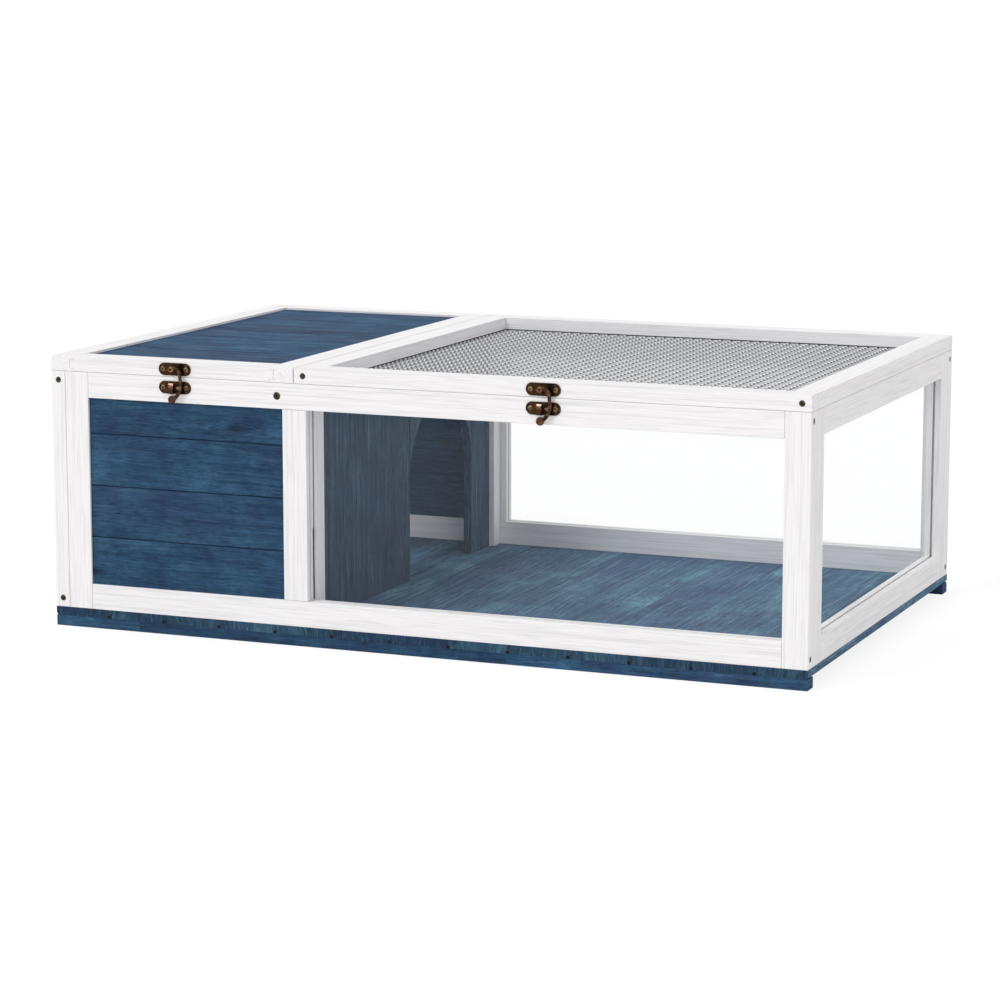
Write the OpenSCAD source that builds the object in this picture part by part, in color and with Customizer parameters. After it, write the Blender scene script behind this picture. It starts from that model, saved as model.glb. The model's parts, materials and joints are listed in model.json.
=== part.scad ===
// Tortoise house: a planked hide and a glazed run under two hinged lids.
// Millimetres. Places are measured from the left outer face, the front outer
// face and the ground, and every piece is then moved so that the origin is
// the middle of the footprint, on the ground. The front faces -Y.

/* [House] */
// Length of the house over its frame
house_length = 920; // [760:1:1300]
// Depth of the house over its frame
house_depth = 590; // [560:1:760]
// Height from the ground to the top of the lids
house_height = 320; // [310:1:420]
// Length of the hide, from the left end to the seam between the lids
hide_length = 312; // [260:1:420]

/* [Timber] */
// Face width of the stiles, the rails and the lid frames
timber_width = 30; // [24:0.5:34]
// Thickness of the stiles, the rails and the lid frames
timber_thickness = 18; // [16:0.5:22]
// Depth of the grooves that hold the planks and the panes
groove_depth = 5.5; // [4:0.5:7]
// How far the front middle stile starts left of the lid seam
front_stile_offset = 14.5; // [10:0.5:18]
// How far the rear middle stile starts left of the lid seam
rear_stile_offset = 3.5; // [0:0.5:8]

/* [Planks] */
// Thickness of the planks in the walls and in the hide lid
plank_thickness = 11; // [8:0.5:12]
// Cover width of a wall plank
wall_plank_width = 61; // [50:0.5:80]
// Cover width of a lid plank
lid_plank_width = 65; // [50:0.5:80]
// Narrowest plank that is left at the end of a run of planks
plank_least = 16; // [12:1:20]
// Gap between the bodies of neighbouring planks
plank_gap = 0.3; // [0.2:0.05:0.6]
// Length of a plank's tongue
tongue_length = 3.5; // [2:0.5:4]
// Thickness of a plank's tongue
tongue_thickness = 3; // [2:0.5:4]
// Chamfer along a plank's outer edges
plank_chamfer = 1; // [0.5:0.1:1.5]

/* [Base] */
// Height of the two runners under the floor
runner_height = 12.5; // [8:0.5:25]
// Width of a runner
runner_width = 20; // [15:0.5:40]
// Thickness of the floor boards
floor_thickness = 10; // [8:0.5:14]
// Cover width of a floor board
floor_board_width = 71.8; // [60:0.1:90]
// Width of the first floor board at the left, its groove trimmed away
first_floor_board = 70; // [50:0.5:90]
// Width of the notch under a floor board's edge
seam_notch_width = 2; // [1:0.1:2.5]
// Height of the notch under a floor board's edge
seam_notch_height = 2.8; // [1:0.1:3]

/* [Windows] */
// Thickness of the clear panes
pane_thickness = 2.4; // [1.5:0.1:4]

/* [Divider] */
// How far the divider's middle lies right of the lid seam
divider_offset = 6; // [2:0.5:8]
// Thickness of the divider boards
divider_thickness = 11; // [8:0.5:14]
// How far the divider stops below the top of the frame
divider_drop = 3; // [1:0.5:12]
// Width of the doorway
door_width = 193; // [120:1:200]
// Height of the doorway above the floor, to the top of its arch
door_height = 217; // [170:1:225]
// Distance from the front face to the middle of the doorway
door_middle = 394.5; // [300:0.5:410]
// How far above the spring of the arch its board starts
arch_foot = 12; // [8:1:20]
// Width of the battens that hold the divider's ends
batten_width = 26; // [22:0.5:32]
// Depth of the battens
batten_depth = 22; // [16:0.5:30]
// Depth of the groove in a batten
batten_groove = 8; // [5:0.5:10]

/* [Lids] */
// Gap between the two lids
lid_gap = 0.8; // [0.5:0.1:2]
// Width of the rebate that holds the wire mesh
mesh_rebate = 8; // [6:0.5:10]
// Depth of the rebate that holds the wire mesh
mesh_rebate_depth = 1.7; // [1.6:0.1:2.5]
// Thickness of the wire mesh
mesh_thickness = 0.8; // [0.6:0.1:0.8]
// Width of one strand of the mesh
mesh_strand = 1.6; // [1:0.1:2.4]
// Gaps of the mesh along the house
mesh_gaps_long = 17; // [8:1:18]
// Gaps of the mesh across the house
mesh_gaps_deep = 16; // [8:1:16]
// Every how many strands a staple holds the mesh
staple_every = 4; // [3:1:6]
// Width of a staple's crown
staple_width = 7; // [6:0.5:10]
// Thickness of a staple's wire
staple_wire = 0.7; // [0.5:0.05:0.7]
// How far a staple's legs go into the wood
staple_leg = 6; // [4:0.5:10]

/* [Hinges] */
// Length of a hinge along its pin
hinge_length = 38; // [30:1:60]
// How far a leaf reaches from the pin's middle
leaf_reach = 15; // [13:0.5:16]
// Thickness of a leaf
leaf_thickness = 1.2; // [0.8:0.1:1.6]
// Radius of the knuckles
knuckle_radius = 3.1; // [2.6:0.1:3.4]
// Distance from the rear face to the pin's middle
pin_distance = 3.5; // [3.4:0.1:4]
// Radius of the hinge pin
pin_radius = 1.4; // [1:0.1:1.6]
// Distance from a lid's end to the middle of its hinge
hinge_inset = 75; // [70:1:110]
// Distance between the two screws of a leaf
leaf_screw_pitch = 22; // [18:0.5:26]
// Distance from the pin's middle to the screws of a leaf
leaf_screw_reach = 9.5; // [8.5:0.5:10.5]

/* [Latches] */
// Length of a latch plate
plate_length = 41; // [34:0.5:46]
// Height of a latch plate
plate_height = 14.5; // [12:0.5:15]
// Thickness of a latch plate
plate_thickness = 1.2; // [0.8:0.1:1.4]
// Distance between the two screws of a plate
plate_screw_pitch = 29.6; // [26:0.2:32]
// Distance from the lid seam down to the catch plate's middle
catch_drop = 12; // [10:0.2:14]
// How far the hide's latch lies right of its lid's middle
hide_latch_offset = 6.2; // [0:0.1:12]
// How far the run's latch lies left of its lid's middle
run_latch_offset = 1.3; // [0:0.1:6]
// How far the hook's rivet lies left of the plate's middle
rivet_offset = 2.5; // [2:0.1:4]
// Radius of the rivet's shank
rivet_radius = 1.8; // [1.4:0.1:2.2]
// Radius of the rivet's head
rivet_head_radius = 3.2; // [2.6:0.1:3.8]
// Height of the rivet's head
rivet_head_height = 1; // [0.6:0.1:1.4]
// Radius of the boss under the hook
boss_radius = 5; // [4.5:0.1:6]
// Height of the hook's inner face above the wood
hook_lift = 3.9; // [3.9:0.1:4.4]
// Thickness of the hook
hook_thickness = 1.6; // [1.2:0.1:2]
// Width of the hook's arm
hook_width = 4.2; // [3:0.1:4.4]
// Radius of the hook's eye
hook_eye_radius = 4.4; // [4:0.1:5]
// Radius of the short curve beside the hook's eye, on its middle line
shoulder_bend = 7.4; // [6.8:0.1:8]
// Length of the straight stretch between the hook's two curves
hook_straight = 10; // [9:0.5:11]
// How much slimmer the straight stretch is than the curves
hook_waist = 0.3; // [0.2:0.1:0.6]
// Radius of the hook's long curve, on its middle line
hook_bend = 19; // [17:0.1:21]
// Radius of the hook's knob
knob_radius = 4.8; // [4:0.1:5.5]
// Height of the catch's tab above the wood
tab_height = 3.8; // [3.6:0.1:3.8]
// Width of the catch's tab
tab_width = 6; // [5:0.1:8]
// Length of the catch's tab
tab_length = 11; // [8:0.1:11.5]
// How far the tab's middle lies below the plate's middle
tab_drop = 1.2; // [0:0.1:1.3]
// Thickness of the tab's metal
tab_skin = 0.7; // [0.5:0.1:0.8]
// Width of the window beside the tab
catch_window = 6; // [4:0.1:7]

/* [Screws] */
// Radius of a frame screw's head
screw_head_radius = 3.6; // [3:0.1:4]
// Radius of the head of the cross rail's screws
cross_head_radius = 4.5; // [3.6:0.1:4.6]
// Depth of a frame screw's head
screw_head_depth = 2; // [1.5:0.1:3]
// Radius of a frame screw's shank
screw_shank_radius = 1.8; // [1.4:0.1:2]
// How far a frame screw goes past the piece that its head sits in
screw_bite = 20; // [12:1:30]
// Distance from a rail's outer edge to its screw
screw_inset = 10.5; // [9:0.5:12]
// Distance from the run lid's end to its corner screw
lid_screw_inset = 11; // [9:0.5:16]
// Radius of a small screw's head
small_head_radius = 2.8; // [2.2:0.1:3]
// Height of a small screw's head
small_head_height = 0.9; // [0.6:0.1:0.9]
// Radius of a small screw's shank
small_shank_radius = 1.3; // [1:0.1:1.4]
// How far a small screw goes into the wood
small_screw_bite = 12; // [8:0.5:13]

/* [Clearances] */
// Gap round a plank or a pane in its groove
groove_fit = 0.2; // [0.1:0.05:0.3]
// Gap between neighbouring boards of the divider, and beside a leaf's knuckle
board_fit = 0.2; // [0.1:0.05:0.4]
// Gap round a screw in its hole
screw_fit = 0.05; // [0.02:0.01:0.1]
// Running gap round a pin or a rivet
running_fit = 0.04; // [0.02:0.01:0.08]
// Gap between sliding faces of the latch
latch_gap = 0.1; // [0.05:0.05:0.1]

/* [Hidden] */
$fn = 48;
arch_fn = 96;
lid_thickness = timber_thickness;
floor_top = runner_height + floor_thickness;
frame_top = house_height - lid_thickness;
lid_middle_z = frame_top + lid_thickness / 2;
bottom_rail_top = floor_top + timber_width;
top_rail_bottom = frame_top - timber_width;
wall_middle = timber_thickness / 2;
rear_wall_middle = house_depth - wall_middle;
right_wall_middle = house_length - wall_middle;
inner_front = timber_thickness;
inner_rear = house_depth - timber_thickness;
bay_left = timber_thickness + timber_width;
bay_right = house_length - timber_width;
side_bay_front = timber_thickness + timber_width;
side_bay_rear = house_depth - timber_thickness - timber_width;
front_stile_left = hide_length - front_stile_offset;
front_stile_right = front_stile_left + timber_width;
rear_stile_left = hide_length - rear_stile_offset;
rear_stile_right = rear_stile_left + timber_width;

// Outer spaces that the planks and the panes fill, with their clearance
front_plank_low = [bay_left - groove_depth, wall_middle, bottom_rail_top - groove_depth];
front_plank_high = [front_stile_left + groove_depth, wall_middle, top_rail_bottom + groove_depth];
rear_plank_low = [bay_left - groove_depth, rear_wall_middle, bottom_rail_top - groove_depth];
rear_plank_high = [rear_stile_left + groove_depth, rear_wall_middle, top_rail_bottom + groove_depth];
left_plank_low = [wall_middle, timber_width - groove_depth, bottom_rail_top - groove_depth];
left_plank_high = [wall_middle, house_depth - timber_width + groove_depth,
                   top_rail_bottom + groove_depth];
front_pane_low = [front_stile_right - groove_depth, wall_middle, bottom_rail_top - groove_depth];
front_pane_high = [bay_right + groove_depth, wall_middle, top_rail_bottom + groove_depth];
rear_pane_low = [rear_stile_right - groove_depth, rear_wall_middle, bottom_rail_top - groove_depth];
rear_pane_high = [bay_right + groove_depth, rear_wall_middle, top_rail_bottom + groove_depth];
right_pane_low = [right_wall_middle, side_bay_front - groove_depth, bottom_rail_top - groove_depth];
right_pane_high = [right_wall_middle, side_bay_rear + groove_depth, top_rail_bottom + groove_depth];

// The lids
hide_lid_right = hide_length - lid_gap / 2;
run_lid_left = hide_length + lid_gap / 2;
lid_plank_low = [timber_width - groove_depth, timber_width - groove_depth, lid_middle_z];
lid_plank_high = [hide_lid_right - timber_width + groove_depth,
                  house_depth - timber_width + groove_depth, lid_middle_z];
mesh_left = run_lid_left + timber_width - mesh_rebate;
mesh_right = house_length - timber_width + mesh_rebate;
mesh_front = timber_width - mesh_rebate;
mesh_rear = house_depth - timber_width + mesh_rebate;
mesh_top = frame_top + mesh_rebate_depth;
mesh_pitch_long = (mesh_right - mesh_left - 2 * groove_fit - mesh_strand) / mesh_gaps_long;
mesh_pitch_deep = (mesh_rear - mesh_front - 2 * groove_fit - mesh_strand) / mesh_gaps_deep;

// The divider and its doorway
divider_middle = hide_length + divider_offset;
divider_top = frame_top - divider_drop;
door_front = door_middle - door_width / 2;
door_rear = door_middle + door_width / 2;
arch_spring = floor_top + door_height - door_width / 2;

// Where the latches and the hinges sit along the house
hide_latch_x = hide_lid_right / 2 + hide_latch_offset;
run_latch_x = (run_lid_left + house_length) / 2 - run_latch_offset;
hide_hinges = [hinge_inset, hide_lid_right - hinge_inset];
run_hinges = [run_lid_left + hinge_inset, house_length - hinge_inset];
knuckle_length = hinge_length / 3;

// The hook's curves, measured from its rivet: the arm leaves the eye rising by hook_rise, turns
// down until it leans out by hook_lean, runs straight and sweeps in to the knob
hook_rise = 31;
hook_lean = 5;
hook_end_angle = -60;
shoulder_middle = shoulder_bend * [sin(hook_rise), -cos(hook_rise)];
hook_down = [sin(hook_lean), -cos(hook_lean)];
shoulder_end = shoulder_middle + shoulder_bend * [cos(hook_lean), sin(hook_lean)];
sweep_start = shoulder_end + hook_straight * hook_down;
sweep_middle = sweep_start - hook_bend * [cos(hook_lean), sin(hook_lean)];
knob_spot = [0.5, -34.7];
tooth_tip = [5.6, -20.7];
tooth_blunt = [0, 0.5];
tooth_angle = -22;
tooth_height = 0.7;
tab_left = -6.8;

// Directions that a screw's head faces, as rotations of +Z
to_front = [90, 0, 0];
to_rear = [90, 0, 180];
to_right = [0, 90, 0];
rail_screw_top = frame_top - screw_inset;
rail_screw_bottom = floor_top + screw_inset;
cross_rail_middle = hide_length - timber_width + timber_thickness / 2;
cross_screw_z = frame_top - timber_width / 2;

// Each frame screw: its place, the way its head faces, and the piece it crosses
corner_screws = [
    for (z = [rail_screw_top, rail_screw_bottom]) [[wall_middle, 0, z], to_front],
    for (z = [rail_screw_top, rail_screw_bottom]) [[wall_middle, house_depth, z], to_rear],
    for (z = [rail_screw_top, rail_screw_bottom]) [[house_length, wall_middle, z], to_right],
    for (z = [rail_screw_top, rail_screw_bottom]) [[house_length, rear_wall_middle, z], to_right]
];
cross_screws = [
    [[cross_rail_middle, 0, cross_screw_z], to_front],
    [[cross_rail_middle, house_depth, cross_screw_z], to_rear]
];
run_lid_corner_screws = [
    for (x = [run_lid_left + lid_screw_inset, house_length - lid_screw_inset])
        for (end = [[0, to_front], [house_depth, to_rear]])
            [[x, end[0], lid_middle_z], end[1]]
];

// Shared shapes

// Moves a piece from the corner's measures to the middle of the footprint
module placed() {
    translate([-house_length / 2, -house_depth / 2, 0]) children();
}

// A square-edged block between two corners
module block(low, high) {
    translate(low) cube(high - low);
}

// The space between two corners, thickened to both sides along one axis
module slab(low, high, axis, thickness, shrink) {
    side = [for (i = [0:2]) i == axis ? thickness / 2 : -shrink];
    block(low - side, high + side);
}

module front_plank_slot() slab(front_plank_low, front_plank_high, 1, plank_thickness + 2 * groove_fit, 0);
module rear_plank_slot() slab(rear_plank_low, rear_plank_high, 1, plank_thickness + 2 * groove_fit, 0);
module left_plank_slot() slab(left_plank_low, left_plank_high, 0, plank_thickness + 2 * groove_fit, 0);
module lid_plank_slot() slab(lid_plank_low, lid_plank_high, 2, plank_thickness + 2 * groove_fit, 0);
module front_pane_slot() slab(front_pane_low, front_pane_high, 1, pane_thickness + 2 * groove_fit, 0);
module rear_pane_slot() slab(rear_pane_low, rear_pane_high, 1, pane_thickness + 2 * groove_fit, 0);
module right_pane_slot() slab(right_pane_low, right_pane_high, 0, pane_thickness + 2 * groove_fit, 0);

// Edges of a run of planks that starts with full ones and ends with a cut one
function run_edges(low, high, first, width) =
    let (more = max(0, ceil((high - low - first - plank_least) / width)))
    concat([low], [for (k = [0:1:more - 1]) low + first + k * width], [high]);

// Edges of a run of full planks, with a cut one of equal width at each end
function centred_edges(low, high, width) =
    let (full = floor((high - low - 2 * plank_least) / width))
    let (start = (low + high - full * width) / 2)
    concat([low], [for (k = [0:full]) start + k * width], [high]);

// A plank's section: stacked along x, its outer face up, tongue ahead, groove behind
module plank_section(near, far, thickness, tongue, groove, notch) {
    difference() {
        union() {
            translate([near, -thickness / 2]) square([far - near, thickness]);
            if (tongue) translate([far - notch[0], -tongue_thickness / 2])
                square([notch[0] + plank_gap + tongue_length, tongue_thickness]);
        }
        if (groove) translate([near - 1, -tongue_thickness / 2 - groove_fit])
            square([1 + tongue_length + 2 * groove_fit, tongue_thickness + 2 * groove_fit]);
        polygon([[near - 1, thickness / 2 - notch[1] - notch[1] / notch[0]],
                 [near + notch[0], thickness / 2], [near + notch[0], thickness / 2 + 1],
                 [near - 1, thickness / 2 + 1]]);
        polygon([[far + 1, thickness / 2 - notch[1] - notch[1] / notch[0]],
                 [far - notch[0], thickness / 2], [far - notch[0], thickness / 2 + 1],
                 [far + 1, thickness / 2 + 1]]);
    }
}

// Planks that run along x from 0, stacked along y between the edges given
module planks(length, edges, thickness, notch) {
    last = len(edges) - 2;
    for (k = [0:last])
        rotate([90, 0, 90]) linear_extrude(length)
            plank_section(edges[k] + (k == 0 ? 0 : plank_gap / 2),
                          edges[k + 1] - (k == last ? 0 : plank_gap / 2),
                          thickness, k < last, k > 0, notch);
}

wall_edges = run_edges(bottom_rail_top - groove_depth + groove_fit,
                       top_rail_bottom + groove_depth - groove_fit,
                       wall_plank_width, wall_plank_width);
lid_edges = centred_edges(lid_plank_low[1] + groove_fit, lid_plank_high[1] - groove_fit,
                          lid_plank_width);
floor_edges = run_edges(0, house_length, first_floor_board, floor_board_width);
fine_notch = [plank_chamfer, plank_chamfer];
floor_notch = [seam_notch_width, seam_notch_height];

// A screw that is sunk flush, with its head facing +z
module sunk_screw(head, crossed, extra) {
    translate([0, 0, -screw_head_depth - extra])
        cylinder(r = head + extra, h = screw_head_depth + 2 * extra);
    translate([0, 0, -crossed - screw_bite - extra])
        cylinder(r = screw_shank_radius + extra, h = crossed + screw_bite - screw_head_depth + extra);
}

module sunk_screws(spots, head, crossed, extra) {
    for (spot = spots)
        translate(spot[0]) rotate(spot[1]) sunk_screw(head, crossed, extra);
}

module corner_screw_holes() sunk_screws(corner_screws, screw_head_radius, timber_width, screw_fit);
module cross_screw_holes() sunk_screws(cross_screws, cross_head_radius, timber_thickness, screw_fit);
module run_lid_screw_holes() {
    sunk_screws(run_lid_corner_screws, screw_head_radius, timber_width, screw_fit);
}

// A small round-headed screw through a plate whose outer face is at z = 0
module small_screw(plate) {
    cylinder(r = small_head_radius, h = small_head_height);
    translate([0, 0, -plate - small_screw_bite])
        cylinder(r = small_shank_radius, h = plate + small_screw_bite);
}

// The hole that a small screw leaves in the wood whose face is at z = 0
module small_hole() {
    translate([0, 0, -small_screw_bite - screw_fit])
        cylinder(r = small_shank_radius + screw_fit, h = small_screw_bite + 1);
}

module screw_pair(pitch, y) {
    for (side = [-1, 1]) translate([side * pitch / 2, y, 0]) children();
}

// Puts a latch piece on the front face: x along the house, y up, z outward
module on_front(x, z) {
    translate([x, 0, z]) rotate(to_front) children();
}

// Puts a hinge piece at a pin's middle behind the house: y up, z outward
module at_hinges(places) {
    for (x = places)
        translate([x, house_depth + pin_distance, frame_top]) rotate(to_rear) children();
}

module catch_screw_holes() {
    for (x = [hide_latch_x, run_latch_x])
        on_front(x, frame_top - catch_drop) screw_pair(plate_screw_pitch, 0) small_hole();
}

module latch_screw_holes(x) {
    on_front(x, lid_middle_z) screw_pair(plate_screw_pitch, 0) small_hole();
}

// The screw holes of the leaves, on the frame (side -1) or on a lid (side 1)
module leaf_screw_holes(places, side) {
    at_hinges(places) translate([0, 0, -pin_distance])
        screw_pair(leaf_screw_pitch, side * leaf_screw_reach) small_hole();
}

// Base

module runner(y) {
    block([0, y, 0], [house_length, y + runner_width, runner_height]);
}

module front_runner() color("steelblue") placed() runner(0);

module rear_runner() color("steelblue") placed() runner(house_depth - runner_width);

module floor_boards() color("steelblue") placed()
    translate([0, 0, runner_height + floor_thickness / 2])
        rotate(a = 180, v = [1, 1, 0])
            planks(house_depth, floor_edges, floor_thickness, floor_notch);

// Front wall

module front_left_stile() color("whitesmoke") placed() difference() {
    block([timber_thickness, 0, floor_top], [bay_left, timber_thickness, frame_top]);
    front_plank_slot();
}

module front_middle_stile() color("whitesmoke") placed() difference() {
    block([front_stile_left, 0, bottom_rail_top],
          [front_stile_right, timber_thickness, top_rail_bottom]);
    front_plank_slot();
    front_pane_slot();
}

module front_right_stile() color("whitesmoke") placed() difference() {
    block([bay_right, 0, floor_top], [house_length, timber_thickness, frame_top]);
    front_pane_slot();
    corner_screw_holes();
}

module front_top_rail() color("whitesmoke") placed() difference() {
    block([bay_left, 0, top_rail_bottom], [bay_right, timber_thickness, frame_top]);
    front_plank_slot();
    front_pane_slot();
    corner_screw_holes();
    cross_screw_holes();
    catch_screw_holes();
}

module front_bottom_rail() color("whitesmoke") placed() difference() {
    block([bay_left, 0, floor_top], [bay_right, timber_thickness, bottom_rail_top]);
    front_plank_slot();
    front_pane_slot();
    corner_screw_holes();
}

module front_planks() color("steelblue") placed()
    translate([front_plank_low[0] + groove_fit, wall_middle, 0]) rotate([90, 0, 0])
        planks(front_plank_high[0] - front_plank_low[0] - 2 * groove_fit, wall_edges,
               plank_thickness, fine_notch);

module front_pane() color("lightcyan", 0.4) placed()
    slab(front_pane_low, front_pane_high, 1, pane_thickness, groove_fit);

// Rear wall

module rear_left_stile() color("whitesmoke") placed() difference() {
    block([timber_thickness, inner_rear, floor_top], [bay_left, house_depth, frame_top]);
    rear_plank_slot();
}

module rear_middle_stile() color("whitesmoke") placed() difference() {
    block([rear_stile_left, inner_rear, bottom_rail_top],
          [rear_stile_right, house_depth, top_rail_bottom]);
    rear_plank_slot();
    rear_pane_slot();
}

module rear_right_stile() color("whitesmoke") placed() difference() {
    block([bay_right, inner_rear, floor_top], [house_length, house_depth, frame_top]);
    rear_pane_slot();
    corner_screw_holes();
}

module rear_top_rail() color("whitesmoke") placed() difference() {
    block([bay_left, inner_rear, top_rail_bottom], [bay_right, house_depth, frame_top]);
    rear_plank_slot();
    rear_pane_slot();
    corner_screw_holes();
    cross_screw_holes();
    leaf_screw_holes(concat(hide_hinges, run_hinges), -1);
}

module rear_bottom_rail() color("whitesmoke") placed() difference() {
    block([bay_left, inner_rear, floor_top], [bay_right, house_depth, bottom_rail_top]);
    rear_plank_slot();
    rear_pane_slot();
    corner_screw_holes();
}

module rear_planks() color("steelblue") placed()
    translate([rear_plank_high[0] - groove_fit, rear_wall_middle, 0]) rotate([90, 0, 180])
        planks(rear_plank_high[0] - rear_plank_low[0] - 2 * groove_fit, wall_edges,
               plank_thickness, fine_notch);

module rear_pane() color("lightcyan", 0.4) placed()
    slab(rear_pane_low, rear_pane_high, 1, pane_thickness, groove_fit);

// Left wall

module left_stile(y) {
    difference() {
        block([0, y, floor_top], [timber_thickness, y + timber_width, frame_top]);
        left_plank_slot();
        corner_screw_holes();
    }
}

module left_front_stile() color("whitesmoke") placed() left_stile(0);

module left_rear_stile() color("whitesmoke") placed() left_stile(house_depth - timber_width);

module left_rail(z) {
    difference() {
        block([0, timber_width, z], [timber_thickness, house_depth - timber_width, z + timber_width]);
        left_plank_slot();
        corner_screw_holes();
    }
}

module left_top_rail() color("whitesmoke") placed() left_rail(top_rail_bottom);

module left_bottom_rail() color("whitesmoke") placed() left_rail(floor_top);

module left_planks() color("steelblue") placed()
    translate([wall_middle, left_plank_high[1] - groove_fit, 0]) rotate([90, 0, -90])
        planks(left_plank_high[1] - left_plank_low[1] - 2 * groove_fit, wall_edges,
               plank_thickness, fine_notch);

// Right wall

module right_stile(y) {
    difference() {
        block([house_length - timber_thickness, y, floor_top],
              [house_length, y + timber_width, frame_top]);
        right_pane_slot();
    }
}

module right_front_stile() color("whitesmoke") placed() right_stile(inner_front);

module right_rear_stile() color("whitesmoke") placed() right_stile(side_bay_rear);

module right_rail(z) {
    difference() {
        block([house_length - timber_thickness, side_bay_front, z],
              [house_length, side_bay_rear, z + timber_width]);
        right_pane_slot();
    }
}

module right_top_rail() color("whitesmoke") placed() right_rail(top_rail_bottom);

module right_bottom_rail() color("whitesmoke") placed() right_rail(floor_top);

module right_pane() color("lightcyan", 0.4) placed()
    slab(right_pane_low, right_pane_high, 0, pane_thickness, groove_fit);

// Between the rooms

module cross_rail() color("whitesmoke") placed() difference() {
    block([cross_rail_middle - timber_thickness / 2, inner_front, top_rail_bottom],
          [cross_rail_middle + timber_thickness / 2, inner_rear, frame_top]);
    cross_screw_holes();
}

module divider_board(front, rear, low) {
    block([divider_middle - divider_thickness / 2, front, low],
          [divider_middle + divider_thickness / 2, rear, divider_top]);
}

module divider_front_board() color("steelblue") placed()
    divider_board(inner_front + batten_depth - batten_groove + groove_fit,
                  door_front - board_fit / 2, floor_top);

module divider_arch_board() color("steelblue") placed() difference() {
    divider_board(door_front + board_fit / 2, door_rear - board_fit / 2, arch_spring + arch_foot);
    translate([divider_middle - divider_thickness, door_middle, arch_spring])
        rotate([0, 90, 0]) cylinder(d = door_width, h = 2 * divider_thickness, $fn = arch_fn);
}

module divider_rear_board() color("steelblue") placed()
    divider_board(door_rear + board_fit / 2,
                  inner_rear - batten_depth + batten_groove - groove_fit, floor_top);

module batten(y) {
    difference() {
        block([divider_middle - batten_width / 2, y, floor_top],
              [divider_middle + batten_width / 2, y + batten_depth, divider_top]);
        slab([divider_middle, inner_front + batten_depth - batten_groove, floor_top - 1],
             [divider_middle, inner_rear - batten_depth + batten_groove, divider_top + 1],
             0, divider_thickness + 2 * groove_fit, 0);
    }
}

module divider_battens() color("whitesmoke") placed() {
    batten(inner_front);
    batten(inner_rear - batten_depth);
}

// Latches

module plate_outline() {
    half = (plate_length - plate_height) / 2;
    for (side = [-1, 1]) translate([side * half, 0]) circle(d = plate_height);
    translate([-half, -plate_height / 2]) square([2 * half, plate_height]);
}

module plate_screw_bores() {
    screw_pair(plate_screw_pitch, 0) circle(r = small_shank_radius + screw_fit);
}

module catch() {
    tab_bottom = -tab_drop - tab_length / 2;
    difference() {
        union() {
            linear_extrude(plate_thickness) plate_outline();
            translate([tab_left, tab_bottom, 0]) cube([tab_width, tab_length, tab_height]);
        }
        translate([0, 0, -1]) linear_extrude(plate_thickness + 2) plate_screw_bores();
        translate([tab_left + tab_skin, tab_bottom + tab_skin, -1])
            cube([tab_width + catch_window - tab_skin, tab_length - 2 * tab_skin,
                  tab_height - tab_skin + 1]);
    }
}

module hide_catch() color("saddlebrown") placed()
    on_front(hide_latch_x, frame_top - catch_drop) catch();

module run_catch() color("saddlebrown") placed()
    on_front(run_latch_x, frame_top - catch_drop) catch();

module latch_plate() {
    difference() {
        union() {
            linear_extrude(plate_thickness) plate_outline();
            translate([-rivet_offset, 0, 0]) cylinder(r = boss_radius, h = hook_lift - latch_gap);
        }
        translate([0, 0, -1]) linear_extrude(plate_thickness + 2) plate_screw_bores();
        translate([-rivet_offset, 0, -1])
            cylinder(r = rivet_radius + running_fit, h = hook_lift + 2);
    }
}

module hide_latch_plate() color("saddlebrown") placed()
    on_front(hide_latch_x, lid_middle_z) latch_plate();

module run_latch_plate() color("saddlebrown") placed()
    on_front(run_latch_x, lid_middle_z) latch_plate();

module latch_rivet() {
    reach = hook_lift + hook_thickness + latch_gap;
    translate([-rivet_offset, 0, 0]) cylinder(r = rivet_radius, h = reach);
    translate([-rivet_offset, 0, reach]) cylinder(r = rivet_head_radius, h = rivet_head_height);
}

module hide_latch_rivet() color("peru") placed()
    on_front(hide_latch_x, lid_middle_z) latch_rivet();

module run_latch_rivet() color("peru") placed()
    on_front(run_latch_x, lid_middle_z) latch_rivet();

function on_sweep(angle) = sweep_middle + hook_bend * [cos(angle), sin(angle)];

// A straight bar with round ends between two points
module bar(from, to, width) {
    reach = to - from;
    translate(from) rotate(atan2(reach[1], reach[0]))
        translate([0, -width / 2]) square([norm(reach), width]);
    translate(from) circle(d = width);
    translate(to) circle(d = width);
}

// A curved stretch of the hook, cut from a ring by the rays at its two end angles
module bend_outline(middle, radius, first, last) {
    far = 2 * radius;
    intersection() {
        translate(middle) difference() {
            circle(r = radius + hook_width / 2, $fn = arch_fn);
            circle(r = radius - hook_width / 2, $fn = arch_fn);
        }
        translate(middle) polygon([
            [0, 0],
            for (angle = [first, (first + last) / 2, last]) far * [cos(angle), sin(angle)]
        ]);
    }
}

module tooth_outline() {
    polygon([
        tooth_tip + tooth_blunt,
        tooth_tip - tooth_blunt,
        on_sweep(tooth_angle),
        on_sweep(0)
    ]);
}

module hook() {
    difference() {
        union() {
            linear_extrude(hook_thickness) {
                circle(r = hook_eye_radius);
                bend_outline(shoulder_middle, shoulder_bend, hook_lean, 90 + hook_rise);
                bar(shoulder_end - hook_down, sweep_start + hook_down, hook_width - hook_waist);
                bend_outline(sweep_middle, hook_bend, hook_end_angle, hook_lean);
                bar(on_sweep(hook_end_angle), knob_spot, hook_width - hook_waist);
            }
            translate(knob_spot) cylinder(r = knob_radius, h = hook_thickness + latch_gap);
            translate([0, 0, -tooth_height]) linear_extrude(tooth_height + hook_thickness)
                tooth_outline();
        }
        translate([0, 0, -1]) cylinder(r = rivet_radius + running_fit, h = hook_thickness + 2);
    }
}

module placed_hook(x) {
    placed() on_front(x, lid_middle_z) translate([-rivet_offset, 0, hook_lift]) hook();
}

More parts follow.
